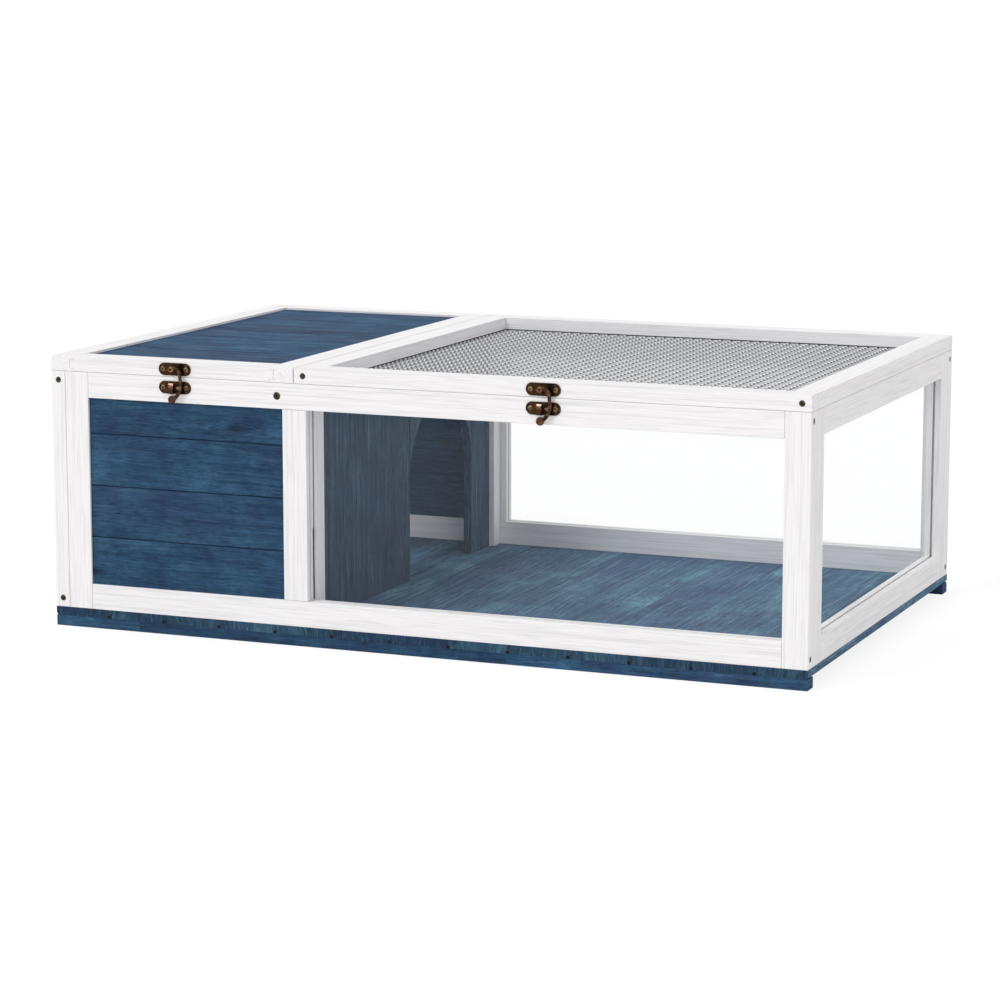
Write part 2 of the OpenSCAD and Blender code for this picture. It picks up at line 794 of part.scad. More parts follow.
module hide_latch_hook() color("sienna") placed_hook(hide_latch_x);

module run_latch_hook() color("sienna") placed_hook(run_latch_x);

// Hinges

module knuckle(middle) {
    translate([middle - knuckle_length / 2 + board_fit / 2, 0, 0]) rotate([0, 90, 0])
        cylinder(r = knuckle_radius, h = knuckle_length - board_fit);
}

// A leaf that hangs down from the pin, with a knuckle at each place given
module leaf(knuckles) {
    root = knuckle_radius + 2 * board_fit;
    difference() {
        union() {
            translate([-hinge_length / 2, -leaf_reach, -pin_distance])
                cube([hinge_length, leaf_reach - root, leaf_thickness]);
            for (middle = knuckles) {
                translate([middle - knuckle_length / 2 + board_fit / 2, -root, -pin_distance])
                    cube([knuckle_length - board_fit, root - board_fit, leaf_thickness]);
                knuckle(middle);
            }
        }
        translate([-hinge_length, 0, 0]) rotate([0, 90, 0])
            cylinder(r = pin_radius + running_fit, h = 2 * hinge_length);
        translate([0, 0, -pin_distance - 1]) linear_extrude(leaf_thickness + 2)
            screw_pair(leaf_screw_pitch, -leaf_screw_reach)
                circle(r = small_shank_radius + screw_fit);
    }
}

module frame_hinge_leaves() color("peru") placed()
    at_hinges(concat(hide_hinges, run_hinges)) leaf([-knuckle_length, knuckle_length]);

module hide_lid_hinge_leaves() color("peru") placed()
    at_hinges(hide_hinges) mirror([0, 1, 0]) leaf([0]);

module run_lid_hinge_leaves() color("peru") placed()
    at_hinges(run_hinges) mirror([0, 1, 0]) leaf([0]);

module hinge_pins() color("peru") placed() at_hinges(concat(hide_hinges, run_hinges)) {
    translate([-hinge_length / 2, 0, 0]) rotate([0, 90, 0]) cylinder(r = pin_radius, h = hinge_length);
    for (side = [-1, 1]) translate([side * hinge_length / 2, 0, 0]) rotate([0, side * 90, 0])
        cylinder(r = (pin_radius + knuckle_radius) / 2, h = small_head_height);
}

// Screws

module frame_screws() color("darkgoldenrod") placed() {
    sunk_screws(corner_screws, screw_head_radius, timber_width, 0);
    sunk_screws(cross_screws, cross_head_radius, timber_thickness, 0);
}

module leaf_screws(places, side) {
    at_hinges(places) translate([0, 0, leaf_thickness - pin_distance])
        screw_pair(leaf_screw_pitch, side * leaf_screw_reach) small_screw(leaf_thickness);
}

module plate_screws(x, z) {
    on_front(x, z) translate([0, 0, plate_thickness])
        screw_pair(plate_screw_pitch, 0) small_screw(plate_thickness);
}

module house_small_screws() color("darkgoldenrod") placed() {
    plate_screws(hide_latch_x, frame_top - catch_drop);
    plate_screws(run_latch_x, frame_top - catch_drop);
    leaf_screws(concat(hide_hinges, run_hinges), -1);
}

module hide_lid_small_screws() color("darkgoldenrod") placed() {
    plate_screws(hide_latch_x, lid_middle_z);
    leaf_screws(hide_hinges, 1);
}

module run_lid_small_screws() color("darkgoldenrod") placed() {
    plate_screws(run_latch_x, lid_middle_z);
    leaf_screws(run_hinges, 1);
}

module run_lid_screws() color("darkgoldenrod") placed()
    sunk_screws(run_lid_corner_screws, screw_head_radius, timber_width, 0);

// Hide lid

// A side member, with the groove that takes the planks and the rails' tongues
module hide_lid_side(low_x) {
    difference() {
        block([low_x, 0, frame_top], [low_x + timber_width, house_depth, house_height]);
        slab([lid_plank_low[0], -1, lid_middle_z], [lid_plank_high[0], house_depth + 1, lid_middle_z],
             2, plank_thickness + 2 * groove_fit, 0);
    }
}

module hide_lid_left_side() color("whitesmoke") placed() hide_lid_side(0);

module hide_lid_right_side() color("whitesmoke") placed() hide_lid_side(hide_lid_right - timber_width);

module hide_lid_rail(y) {
    difference() {
        union() {
            block([timber_width, y, frame_top],
                  [hide_lid_right - timber_width, y + timber_width, house_height]);
            slab([lid_plank_low[0] + groove_fit, y, lid_middle_z],
                 [lid_plank_high[0] - groove_fit, y + timber_width, lid_middle_z],
                 2, plank_thickness, 0);
        }
        lid_plank_slot();
        latch_screw_holes(hide_latch_x);
        leaf_screw_holes(hide_hinges, 1);
    }
}

module hide_lid_front_rail() color("whitesmoke") placed() hide_lid_rail(0);

module hide_lid_rear_rail() color("whitesmoke") placed() hide_lid_rail(house_depth - timber_width);

module hide_lid_planks() color("steelblue") placed()
    translate([lid_plank_low[0] + groove_fit, 0, lid_middle_z])
        planks(lid_plank_high[0] - lid_plank_low[0] - 2 * groove_fit, lid_edges,
               plank_thickness, fine_notch);

// Run lid

module mesh_space() {
    block([mesh_left, mesh_front, frame_top - 1], [mesh_right, mesh_rear, mesh_top]);
}

// One staple under a strand's end: its crown along x, its legs up into the wood
module staple(extra) {
    crown = [staple_width, staple_wire, staple_wire];
    leg = [staple_wire, staple_wire, staple_wire + mesh_thickness + staple_leg];
    grow = [extra, extra, extra];
    translate(-[staple_width, staple_wire, 0] / 2 - grow) cube(crown + 2 * grow);
    for (side = [-1, 1])
        translate([side * (staple_width - staple_wire) / 2, 0, 0]
                  - [staple_wire, staple_wire, 0] / 2 - grow)
            cube(leg + 2 * grow);
}

function strand_at(k, low, pitch) = low + groove_fit + mesh_strand / 2 + k * pitch;

// The staples along all four sides of the mesh
module staples(extra) {
    z = mesh_top - mesh_thickness - screw_fit - staple_wire;
    for (k = [2:staple_every:mesh_gaps_long - 2])
        for (y = [mesh_front + mesh_rebate * 0.6, mesh_rear - mesh_rebate * 0.6])
            translate([strand_at(k, mesh_left, mesh_pitch_long), y, z]) staple(extra);
    for (k = [2:staple_every:mesh_gaps_deep - 2])
        for (x = [mesh_left + mesh_rebate * 0.6, mesh_right - mesh_rebate * 0.6])
            translate([x, strand_at(k, mesh_front, mesh_pitch_deep), z]) rotate(90) staple(extra);
}

module run_lid_rail(y) {
    difference() {
        block([run_lid_left, y, frame_top], [house_length, y + timber_width, house_height]);
        mesh_space();
        staples(screw_fit);
        run_lid_screw_holes();
        latch_screw_holes(run_latch_x);
        leaf_screw_holes(run_hinges, 1);
    }
}

module run_lid_front_rail() color("whitesmoke") placed() run_lid_rail(0);

module run_lid_rear_rail() color("whitesmoke") placed() run_lid_rail(house_depth - timber_width);

module run_lid_side(x) {
    difference() {
        block([x, timber_width, frame_top], [x + timber_width, house_depth - timber_width, house_height]);
        mesh_space();
        staples(screw_fit);
        run_lid_screw_holes();
    }
}

module run_lid_left_side() color("whitesmoke") placed() run_lid_side(run_lid_left);

module run_lid_right_side() color("whitesmoke") placed() run_lid_side(house_length - timber_width);

module wire_mesh() color("silver") placed()
    translate([mesh_left + groove_fit, mesh_front + groove_fit, mesh_top - mesh_thickness])
        linear_extrude(mesh_thickness) difference() {
            square([mesh_strand + mesh_gaps_long * mesh_pitch_long,
                    mesh_strand + mesh_gaps_deep * mesh_pitch_deep]);
            for (i = [0:mesh_gaps_long - 1])
                for (j = [0:mesh_gaps_deep - 1])
                    translate([mesh_strand + i * mesh_pitch_long, mesh_strand + j * mesh_pitch_deep])
                        square([mesh_pitch_long - mesh_strand, mesh_pitch_deep - mesh_strand]);
        }

module mesh_staples() color("darkgray") placed() staples(0);

front_runner();
rear_runner();
floor_boards();
front_left_stile();
front_middle_stile();
front_right_stile();
front_top_rail();
front_bottom_rail();
rear_left_stile();
rear_middle_stile();
rear_right_stile();
rear_top_rail();
rear_bottom_rail();
left_front_stile();
left_rear_stile();
left_top_rail();
left_bottom_rail();
right_front_stile();
right_rear_stile();
right_top_rail();
right_bottom_rail();
cross_rail();
front_planks();
rear_planks();
left_planks();
front_pane();
rear_pane();
right_pane();
divider_front_board();
divider_arch_board();
divider_rear_board();
divider_battens();
hide_catch();
run_catch();
frame_hinge_leaves();
hinge_pins();
frame_screws();
house_small_screws();
hide_lid_left_side();
hide_lid_right_side();
hide_lid_front_rail();
hide_lid_rear_rail();
hide_lid_planks();
hide_lid_hinge_leaves();
hide_latch_plate();
hide_latch_rivet();
hide_lid_small_screws();
run_lid_front_rail();
run_lid_rear_rail();
run_lid_left_side();
run_lid_right_side();
wire_mesh();
mesh_staples();
run_lid_hinge_leaves();
run_latch_plate();
run_latch_rivet();
run_lid_small_screws();
run_lid_screws();
hide_latch_hook();
run_latch_hook();
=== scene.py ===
import json
import math

import bmesh
import bpy
from mathutils import Matrix, Vector


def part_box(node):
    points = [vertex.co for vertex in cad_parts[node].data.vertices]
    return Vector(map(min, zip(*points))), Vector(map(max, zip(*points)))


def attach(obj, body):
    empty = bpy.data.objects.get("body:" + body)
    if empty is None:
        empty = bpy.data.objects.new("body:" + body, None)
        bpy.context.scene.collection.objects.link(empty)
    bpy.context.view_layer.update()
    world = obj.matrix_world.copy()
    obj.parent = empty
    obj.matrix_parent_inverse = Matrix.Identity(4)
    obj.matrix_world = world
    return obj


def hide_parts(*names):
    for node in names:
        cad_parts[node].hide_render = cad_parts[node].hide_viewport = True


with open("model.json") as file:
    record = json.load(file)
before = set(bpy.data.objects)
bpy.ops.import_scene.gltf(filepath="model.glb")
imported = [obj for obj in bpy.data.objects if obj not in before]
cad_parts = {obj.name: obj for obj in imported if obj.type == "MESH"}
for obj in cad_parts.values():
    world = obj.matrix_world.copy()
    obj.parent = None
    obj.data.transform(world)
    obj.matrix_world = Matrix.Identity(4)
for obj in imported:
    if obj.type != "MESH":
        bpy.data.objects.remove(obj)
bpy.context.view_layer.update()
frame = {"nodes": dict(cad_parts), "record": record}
bodies = frame["record"]["behaviour"]["bodies"]
body_of = {name: body for body, names in bodies.items() for name in names}

# The camera stands at the photograph's place; angles in degrees

CAMERA_PLACE = (1.4323, -3.5409, 0.7829)
CAMERA_DIP, CAMERA_TURN = 9.669, 22.259
CAMERA_LENS, CAMERA_SENSOR = 116.07, 36.0

camera_data = bpy.data.cameras.new("camera")
camera_data.lens = CAMERA_LENS
camera_data.sensor_width = CAMERA_SENSOR
camera = bpy.data.objects.new("camera", camera_data)
camera.location = CAMERA_PLACE
camera.rotation_euler = (math.radians(90 - CAMERA_DIP), 0, math.radians(CAMERA_TURN))
bpy.context.scene.collection.objects.link(camera)
bpy.context.scene.camera = camera
bpy.context.scene.view_settings.view_transform = "Standard"


# Node helpers; an owner is a material or the world

def srgb(red, green, blue):
    """A display colour, 0 to 255, as the linear colour that Blender wants."""
    def linear(c):
        c = c / 255
        return c / 12.92 if c <= 0.04045 else ((c + 0.055) / 1.055) ** 2.4
    return (linear(red), linear(green), linear(blue), 1.0)


def grey(value):
    return (value, value, value, 1.0)


def node(owner, kind, inputs=None, **settings):
    """A new node, whose inputs are plain values or other nodes' outputs."""
    made = owner.node_tree.nodes.new(kind)
    for key, value in settings.items():
        setattr(made, key, value)
    for key, value in (inputs or {}).items():
        if isinstance(value, bpy.types.NodeSocket):
            owner.node_tree.links.new(value, made.inputs[key])
        else:
            made.inputs[key].default_value = value
    return made


def maths(owner, operation, first, second=0.0):
    return node(owner, "ShaderNodeMath", {0: first, 1: second}, operation=operation).outputs[0]


def mixed(owner, share, first, second, blend="MIX"):
    return node(owner, "ShaderNodeMix", {0: share, 6: first, 7: second}, data_type="RGBA",
                blend_type=blend).outputs[2]


def toned(owner, colour, shade, share=1.0):
    """A colour multiplied by a shade."""
    return mixed(owner, share, colour, shade, "MULTIPLY")


def ramp(owner, factor, *stops):
    """A colour ramp of (place, colour) stops; a plain number stands for a grey."""
    made = node(owner, "ShaderNodeValToRGB", {0: factor})
    elements = made.color_ramp.elements
    while len(elements) < len(stops):
        elements.new(0.5)
    for element, (place, colour) in zip(elements, stops):
        element.position = place
        element.color = colour if isinstance(colour, tuple) else grey(colour)
    return made.outputs[0]


def object_places(owner):
    return node(owner, "ShaderNodeTexCoord").outputs["Object"]


def place_along(owner, axis):
    """The object coordinate along "X", "Y" or "Z"."""
    return node(owner, "ShaderNodeSeparateXYZ", {0: object_places(owner)}).outputs[axis]


def noise(owner, places, scale, detail, roughness=0.55):
    return node(owner, "ShaderNodeTexNoise", {
        "Vector": places, "Scale": scale, "Detail": detail, "Roughness": roughness}).outputs[0]


def stretched(owner, places, scales, shift=(0, 0, 0)):
    return node(owner, "ShaderNodeMapping", {
        "Vector": places, "Scale": scales, "Location": shift}).outputs[0]


def drawn_noise(owner, places, scales, detail, roughness=0.55, shift=(0, 0, 0)):
    """Noise with a scale for each axis, so that it is drawn out along the grain."""
    return noise(owner, stretched(owner, places, scales, shift), 1.0, detail, roughness)


def pushed(owner, places, **pushes):
    """Places moved along their axes by the outputs of other nodes."""
    push = node(owner, "ShaderNodeCombineXYZ", pushes).outputs[0]
    return node(owner, "ShaderNodeVectorMath", {0: places, 1: push}, operation="ADD").outputs[0]


def new_material(name):
    material = bpy.data.materials.new(name)
    material.use_nodes = True
    material.node_tree.nodes.clear()
    surface = node(material, "ShaderNodeBsdfPrincipled")
    node(material, "ShaderNodeOutputMaterial", {"Surface": surface.outputs[0]})
    return material, surface


def dress(material, surface, colour, rough, height, strength, depth):
    """Gives a surface its colour, its roughness and a bump of a depth in metres."""
    bump = node(material, "ShaderNodeBump", {"Height": height, "Strength": strength, "Distance": depth})
    for output, socket in ((colour, "Base Color"), (rough, "Roughness"), (bump.outputs[0], "Normal")):
        material.node_tree.links.new(output, surface.inputs[socket])


GRAIN_TURN = {"X": (0, 0, 0), "Y": (0, 0, -math.pi / 2), "Z": (0, math.pi / 2, 0)}


def grain_space(material, along, shift):
    """Object coordinates turned so that the grain runs along x."""
    return node(material, "ShaderNodeMapping", {
        "Vector": object_places(material), "Rotation": GRAIN_TURN[along], "Location": shift}).outputs[0]


# Wood finishes; noise scales are in turns per metre, along the grain and across it

PAINT_WHITE, PAINT_GLOSS = srgb(245, 243, 244), 0.3
PAINT_SWAY = 0.008


def white_paint(name, along, shift):
    """White paint on softwood: fine threads and long lines of grain show through it."""
    material, surface = new_material(name)
    space = grain_space(material, along, shift)
    sway = maths(material, "MULTIPLY", drawn_noise(material, space, (3, 12, 12), 2), PAINT_SWAY)
    bent = pushed(material, space, Y=sway)
    threads = drawn_noise(material, bent, (18, 640, 640), 2, 0.5)
    lines = drawn_noise(material, bent, (1.2, 260, 260), 1, 0.5)
    drift = drawn_noise(material, space, (3, 9, 9), 2)
    colour = toned(material, PAINT_WHITE, ramp(material, threads, (0.34, 0.89), (0.50, 0.98), (0.62, 1.0)))
    colour = toned(material, colour, ramp(material, lines, (0.34, 0.92), (0.44, 0.99), (0.60, 1.0)))
    colour = toned(material, colour, ramp(material, drift, (0.3, 0.98), (0.7, 1.0)))
    surface.inputs["Specular IOR Level"].default_value = PAINT_GLOSS
    height = maths(material, "ADD", threads, maths(material, "MULTIPLY", lines, 1.5))
    dress(material, surface, colour, ramp(material, lines, (0.3, 0.62), (0.7, 0.50)), height, 0.25, 0.0004)
    return material


# The stains' deep, middle and pale tones
WALL_BLUES = (srgb(38, 60, 90), srgb(46, 80, 110), srgb(66, 108, 138))
LID_BLUES = (srgb(32, 60, 92), srgb(42, 84, 120), srgb(66, 116, 150))
FLOOR_BLUES = (srgb(46, 69, 95), srgb(59, 87, 108), srgb(90, 133, 146))
DIVIDER_BLUES = (srgb(42, 56, 78), srgb(54, 76, 96), srgb(72, 102, 122))
VIOLET_PATCH, PALE_STREAK, KNOT_BLUE = srgb(50, 62, 96), srgb(128, 158, 178), srgb(26, 34, 48)
SAWN_TONE = srgb(150, 160, 168)
STAIN_GLOSS, PORE_SHARE, KNOT_SHARE = 0.12, 0.7, 0.8

# In metres: how far grain sways and knots push it, a seam's reach, a sawn end's skin, a board's slide
STAIN_SWAY, KNOT_PUSH, SEAM_REACH, SAWN_SKIN, BOARD_SLIDE = 0.03, 0.016, 0.0013, 0.0004, 3.0


def blue_stain(name, along, shift, boards=None, blues=WALL_BLUES, tone=0.82, contrast=0.7, streaks=0.12,
               knots=0.5, patches=(18, 24, 24), spread=0.05, seam_shade=0.66, upright=1.0, sawn_ends=None):
    """Stained softwood.

    boards: the axis across the boards, where a seam is, and a board's width
    contrast, streaks, knots: how strong the grain and the pale streaks are, and the share of knots
    spread: how far boards differ in tone. The tone at a seam is painted shade where two boards meet.
    upright: below 1 it draws the grain out over a board's thickness, as streaks on its sawn end
    sawn_ends: how far from the middle the boards end, where the stain has soaked in darker
    """
    material, surface = new_material(name)
    space = grain_space(material, along, shift)
    if boards:
        axis, seam, width = boards
        boards_away = maths(material, "DIVIDE", maths(
            material, "SUBTRACT", place_along(material, axis), seam), width)
        chance = node(material, "ShaderNodeTexWhiteNoise", {
            "W": maths(material, "FLOOR", boards_away)}, noise_dimensions="1D")
        slide = node(material, "ShaderNodeVectorMath", {
            0: chance.outputs[1], "Scale": BOARD_SLIDE}, operation="SCALE").outputs[0]
        space = node(material, "ShaderNodeVectorMath", {0: space, 1: slide}, operation="ADD").outputs[0]

    # Knots push the grain lines apart
    cells = node(material, "ShaderNodeTexVoronoi", {
        "Vector": stretched(material, space, (3.6, 15, 15)), "Scale": 1.0, "Randomness": 1.0})
    near_knot = ramp(material, cells.outputs["Distance"], (0.0, 1.0), (0.16, 0.35), (0.5, 0.0))
    push = maths(material, "MULTIPLY", near_knot, KNOT_PUSH)
    sway = maths(material, "MULTIPLY", drawn_noise(material, space, (2.2, 10, 10), 3), STAIN_SWAY)
    bent = pushed(material, space, Y=maths(material, "ADD", push, sway), Z=sway)
    rings = drawn_noise(material, bent, (2.6, 200, 200 * upright), 3)
    fine = drawn_noise(material, bent, (46, 620, 620 * upright), 4, 0.6)
    pores = drawn_noise(material, bent, (120, 620, 620 * upright), 2, 0.6, (0.6, 0.2, 0.4))
    streak = drawn_noise(material, bent, (6, 420, 420 * upright), 4, 0.7, (0.3, 0.1, 0.7))
    blotch = drawn_noise(material, space, patches, 6, 0.68)
    patch = drawn_noise(material, space, (3.2, 7, 7), 3, 0.5, (4, 1, 2))

    deep, middle, pale = blues
    colour = ramp(material, blotch, (0.28, deep), (0.50, middle), (0.76, pale))
    colour = mixed(material, ramp(material, patch, (0.42, 0.0), (0.72, 0.55)), colour, VIOLET_PATCH)
    ring_shade = ramp(material, rings, (0.30, 0.62), (0.46, 0.98), (0.66, 1.16))
    fine_shade = ramp(material, fine, (0.30, 0.55), (0.5, 1.0), (0.72, 1.4))
    pore_shade = ramp(material, pores, (0.28, 0.5), (0.42, 1.0), (0.7, 1.15))
    for shade, share in ((ring_shade, contrast), (fine_shade, contrast), (pore_shade, PORE_SHARE)):
        colour = toned(material, colour, shade, share)
    colour = mixed(material, ramp(material, streak, (0.55, 0.0), (0.66, streaks)), colour, PALE_STREAK)
    if boards:
        colour = toned(material, colour, ramp(
            material, chance.outputs[0], (0.0, 1 - spread), (1.0, 1 + spread)))
    core = ramp(material, cells.outputs["Distance"], (0.0, 1.0), (0.045, 0.9), (0.085, 0.25), (0.13, 0.0))
    cell_chance = node(material, "ShaderNodeSeparateColor", {0: cells.outputs["Color"]}).outputs[0]
    chosen = ramp(material, cell_chance, (0.995 - knots, 0.0), (1.0 - knots, 1.0))
    knot = maths(material, "MULTIPLY", core, maths(material, "MULTIPLY", chosen, KNOT_SHARE))
    colour = toned(material, mixed(material, knot, colour, KNOT_BLUE), grey(tone))
    # Painted shade: each board darkens towards its seams
    if boards:
        from_seam = maths(material, "MULTIPLY", maths(
            material, "PINGPONG", boards_away, 0.5), width / SEAM_REACH)
        colour = toned(material, colour, ramp(material, from_seam, (0.25, seam_shade), (0.9, 1.0)))
    if sawn_ends:
        off_middle = maths(material, "ABSOLUTE", place_along(material, along))
        at_end = maths(material, "GREATER_THAN", off_middle, sawn_ends - SAWN_SKIN)
        colour = mixed(material, at_end, colour, toned(material, colour, SAWN_TONE))
    surface.inputs["Specular IOR Level"].default_value = STAIN_GLOSS
    height = maths(material, "ADD", maths(material, "MULTIPLY", rings, 2.0), fine)
    dress(material, surface, colour, ramp(material, rings, (0.3, 0.80), (0.7, 0.66)), height, 0.3, 0.0005)
    return material


# Metal and plastic finishes

BRONZE_METAL, TAB_METAL, ZINC_METAL = 0.85, 0.8, 0.15


def bronze(name, dark, light, worn, roughness, shift=(0, 0, 0), shadow_at=None):
    """Antique bronze: a dark patina with warm worn places, and a band of painted shadow at a given x, if
    asked.
    """
    material, surface = new_material(name)
    space = stretched(material, object_places(material), (1, 1, 1), shift)
    mottle = noise(material, space, 260, 4, 0.6)
    grain = noise(material, space, 1400, 3, 0.6)
    colour = ramp(material, mottle, (0.36, dark), (0.56, light), (0.74, worn))
    colour = toned(material, colour, ramp(material, grain, (0.3, 0.7), (0.7, 1.15)), 0.5)
    if shadow_at is not None:
        # Painted shadow band: in centimetres from its middle; the mottle makes its edge ragged
        off_middle = maths(material, "SUBTRACT", place_along(material, "X"), shadow_at)
        away = maths(material, "ABSOLUTE", off_middle)
        ragged = maths(material, "ADD", maths(material, "MULTIPLY", away, 100), maths(
            material, "MULTIPLY", mottle, 0.3))
        colour = toned(material, colour, ramp(material, ragged, (0.42, 0.12), (0.62, 1.0)))
    surface.inputs["Metallic"].default_value = BRONZE_METAL
    rough = ramp(material, mottle, (0.3, roughness + 0.12), (0.7, roughness - 0.08))
    dress(material, surface, colour, rough, grain, 0.25, 0.0002)
    return material


def zinc_wire(name, low, high):
    """Galvanised steel gone dull, mottled between two greys."""
    material, surface = new_material(name)
    spangle = noise(material, object_places(material), 900, 3, 0.6)
    surface.inputs["Metallic"].default_value = ZINC_METAL
    dress(material, surface, ramp(material, spangle, (0.3, low), (0.7, high)),
          ramp(material, spangle, (0.3, 0.56), (0.7, 0.42)), spangle, 0.15, 0.0001)
    return material


def clear_sheet(name):
    """Clear acrylic with a faint haze."""
    material, surface = new_material(name)
    haze = noise(material, object_places(material), 7, 2, 0.5)
    surface.inputs["Alpha"].default_value = 0.02
    dress(material, surface, ramp(material, haze, (0.3, srgb(214, 222, 226)), (0.7, srgb(224, 231, 235))),
          ramp(material, haze, (0.3, 0.05), (0.7, 0.09)), haze, 0.05, 0.0002)
    return material


def painted_recess_shade(name):
    """Painted shade for gaps and recesses: near black, with a faint warm mottle."""
    material, surface = new_material(name)
    shade_mottle = noise(material, object_places(material), 700, 3, 0.6)
    surface.inputs["Specular IOR Level"].default_value = 0.2
    dress(material, surface, ramp(material, shade_mottle, (0.3, srgb(10, 8, 7)), (0.8, srgb(34, 26, 20))),
          ramp(material, shade_mottle, (0.3, 0.62), (0.8, 0.82)), shade_mottle, 0.2, 0.0001)
    return material


def highlit_tab(name, low, high):
    """Bronze with a painted coppery highlight towards the top of the catches' tabs, where their upper bend
    catches the light.
    """
    material, surface = new_material(name)
    mottle = noise(material, object_places(material), 420, 4, 0.6)
    rise = maths(material, "DIVIDE", maths(material, "SUBTRACT", place_along(material, "Z"), low), high - low)
    highlight_share = maths(material, "ADD", rise, maths(
        material, "MULTIPLY", maths(material, "SUBTRACT", mottle, 0.5), 0.9))
    colour = ramp(material, highlight_share, (0.36, srgb(66, 40, 24)), (0.62, srgb(120, 80, 54)),
                  (0.82, srgb(214, 176, 150)), (1.0, srgb(240, 206, 186)))
    surface.inputs["Metallic"].default_value = TAB_METAL
    dress(material, surface, colour, ramp(material, mottle, (0.3, 0.46), (0.7, 0.32)), mottle, 0.25, 0.0002)
    return material


PLATE_BROWNS, PLATE_ROUGHNESS = (srgb(36, 22, 12), srgb(70, 45, 25), srgb(112, 78, 46)), 0.44
# Painted shadow: how far right of a plate's middle the hook's dark band lies
HOOK_SHADOW_AT = 0.0088
plate_bronze = bronze("plate_bronze", *PLATE_BROWNS, PLATE_ROUGHNESS)
hook_bronze = bronze("hook_bronze", srgb(42, 27, 17), srgb(84, 56, 36), srgb(140, 100, 70), 0.36, (2, 0, 0))
# A lighter copy of the hook's bronze: painted highlight for the tooth's lit upper edge, also used on the
# rivet
highlight_bronze = bronze("highlight_bronze", srgb(96, 66, 42), srgb(140, 104, 72), srgb(176, 138, 102), 0.34)
screw_brass = bronze("screw_brass", srgb(82, 66, 38), srgb(144, 121, 82), srgb(190, 166, 122), 0.42)
dark_brass = bronze("dark_brass", srgb(50, 43, 30), srgb(98, 88, 64), srgb(138, 126, 98), 0.46)
wire_zinc = zinc_wire("wire_zinc", srgb(170, 170, 172), srgb(192, 192, 194))
# Dark and pale copies of the zinc: painted shade on the weld beads, painted highlights on the beads beside
# them
weld_shade_zinc = zinc_wire("weld_shade_zinc", srgb(64, 65, 67), srgb(92, 93, 95))
highlight_zinc = zinc_wire("highlight_zinc", srgb(232, 233, 234), srgb(246, 246, 247))
pane_clear = clear_sheet("pane_clear")
# Painted shade: the near-black finish put in gaps, grooves and recesses
painted_shade_black = painted_recess_shade("painted_shade_black")
catch_low, catch_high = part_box("hide_catch")
tab_highlight = highlit_tab("tab_highlight", catch_low.z, catch_high.z)


# Mesh helpers

SHARP_ANGLE = math.radians(48)
SAME_PLACE, FLAT_ANGLE, CORNER_ANGLE = 1e-6, 0.01, 0.6
ROUND_STEPS = 40


def piece(bm, name, body, materials, replaced=(), smooth=False):
    """Turns a finished bmesh into a piece that rides on a body."""
    mesh = bpy.data.meshes.new(name)
    bm.to_mesh(mesh)
    bm.free()
    for material in materials:
        mesh.materials.append(material)
    for face in mesh.polygons:
        face.use_smooth = smooth
    if smooth:
        mesh.set_sharp_from_angle(angle=SHARP_ANGLE)
    made = bpy.data.objects.new(name, mesh)
    bpy.context.scene.collection.objects.link(made)
    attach(made, body)
    if replaced:
        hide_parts(*replaced)
    return made


def cad_copy(name):
    """A CAD node's mesh with its doubles merged."""
    bm = bmesh.new()
    bm.from_mesh(frame["nodes"][name].data)
    bmesh.ops.remove_doubles(bm, verts=bm.verts, dist=SAME_PLACE)
    return bm


def rounded(bm, edges, width):
    bmesh.ops.bevel(bm, geom=edges, offset=width, offset_type="OFFSET", segments=2, profile=0.5,
                    affect="EDGES", clamp_overlap=True, material=-1)


def eased(name, width, shortest, gap=0.0):
    """A copy of a CAD node with rounded long edges, cut back all round by a hair's gap."""
    bm = cad_copy(name)
    bmesh.ops.dissolve_limit(bm, angle_limit=FLAT_ANGLE, verts=bm.verts, edges=bm.edges)
    corner, far_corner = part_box(name)
    middle = (corner + far_corner) / 2
    shrink = [1 - 2 * gap / side for side in far_corner - corner]
    bmesh.ops.scale(bm, verts=bm.verts, vec=shrink, space=Matrix.Translation(-middle))
    rounded(bm, [e for e in bm.edges if len(e.link_faces) == 2 and e.is_convex
                 and e.calc_face_angle(0) > CORNER_ANGLE and e.calc_length() > shortest], width)
    return bm


def lathe(profile):
    """A closed round shape spun about z from (radius, height) points."""
    bm = bmesh.new()
    rim = [bm.verts.new((radius, 0, height)) for radius, height in profile]
    for first, second in zip(rim, rim[1:]):
        bm.edges.new((first, second))
    bmesh.ops.spin(bm, geom=bm.verts[:] + bm.edges[:], cent=(0, 0, 0), axis=(0, 0, 1),
                   angle=math.tau, steps=ROUND_STEPS, use_merge=True)
    bmesh.ops.remove_doubles(bm, verts=bm.verts, dist=SAME_PLACE)
    bmesh.ops.recalc_face_normals(bm, faces=bm.faces)
    return bm


def add_to(target, source, place=Matrix.Identity(4), material=None):
    """Moves one bmesh into another at a place."""
    source.transform(place)
    if place.determinant() < 0:
        bmesh.ops.reverse_faces(source, faces=source.faces)
    if material is not None:
        for face in source.faces:
            face.material_index = material
    held = bpy.data.meshes.new("held")
    source.to_mesh(held)
    source.free()
    target.from_mesh(held)
    bpy.data.meshes.remove(held)


def add_bar(target, centre, size, rounding):
    """Adds a thin bar with rounded edges to a bmesh."""
    bar = bmesh.new()
    bmesh.ops.create_cube(bar, size=1.0)
    bmesh.ops.scale(bar, verts=bar.verts, vec=size)
    rounded(bar, bar.edges[:], rounding)
    add_to(target, bar, Matrix.Translation(centre))


def new_verts(geometry):
    return [v for v in geometry if isinstance(v, bmesh.types.BMVert)]


def facing(place, direction, turn=0.0):
    """A place whose z looks along a direction, with a turn about it."""
    return (Matrix.Translation(place) @ Vector(direction).to_track_quat("Z", "Y").to_matrix().to_4x4()
            @ Matrix.Rotation(turn, 4, "Z"))


# Timber: sticks, runners and divider boards with rounded edges

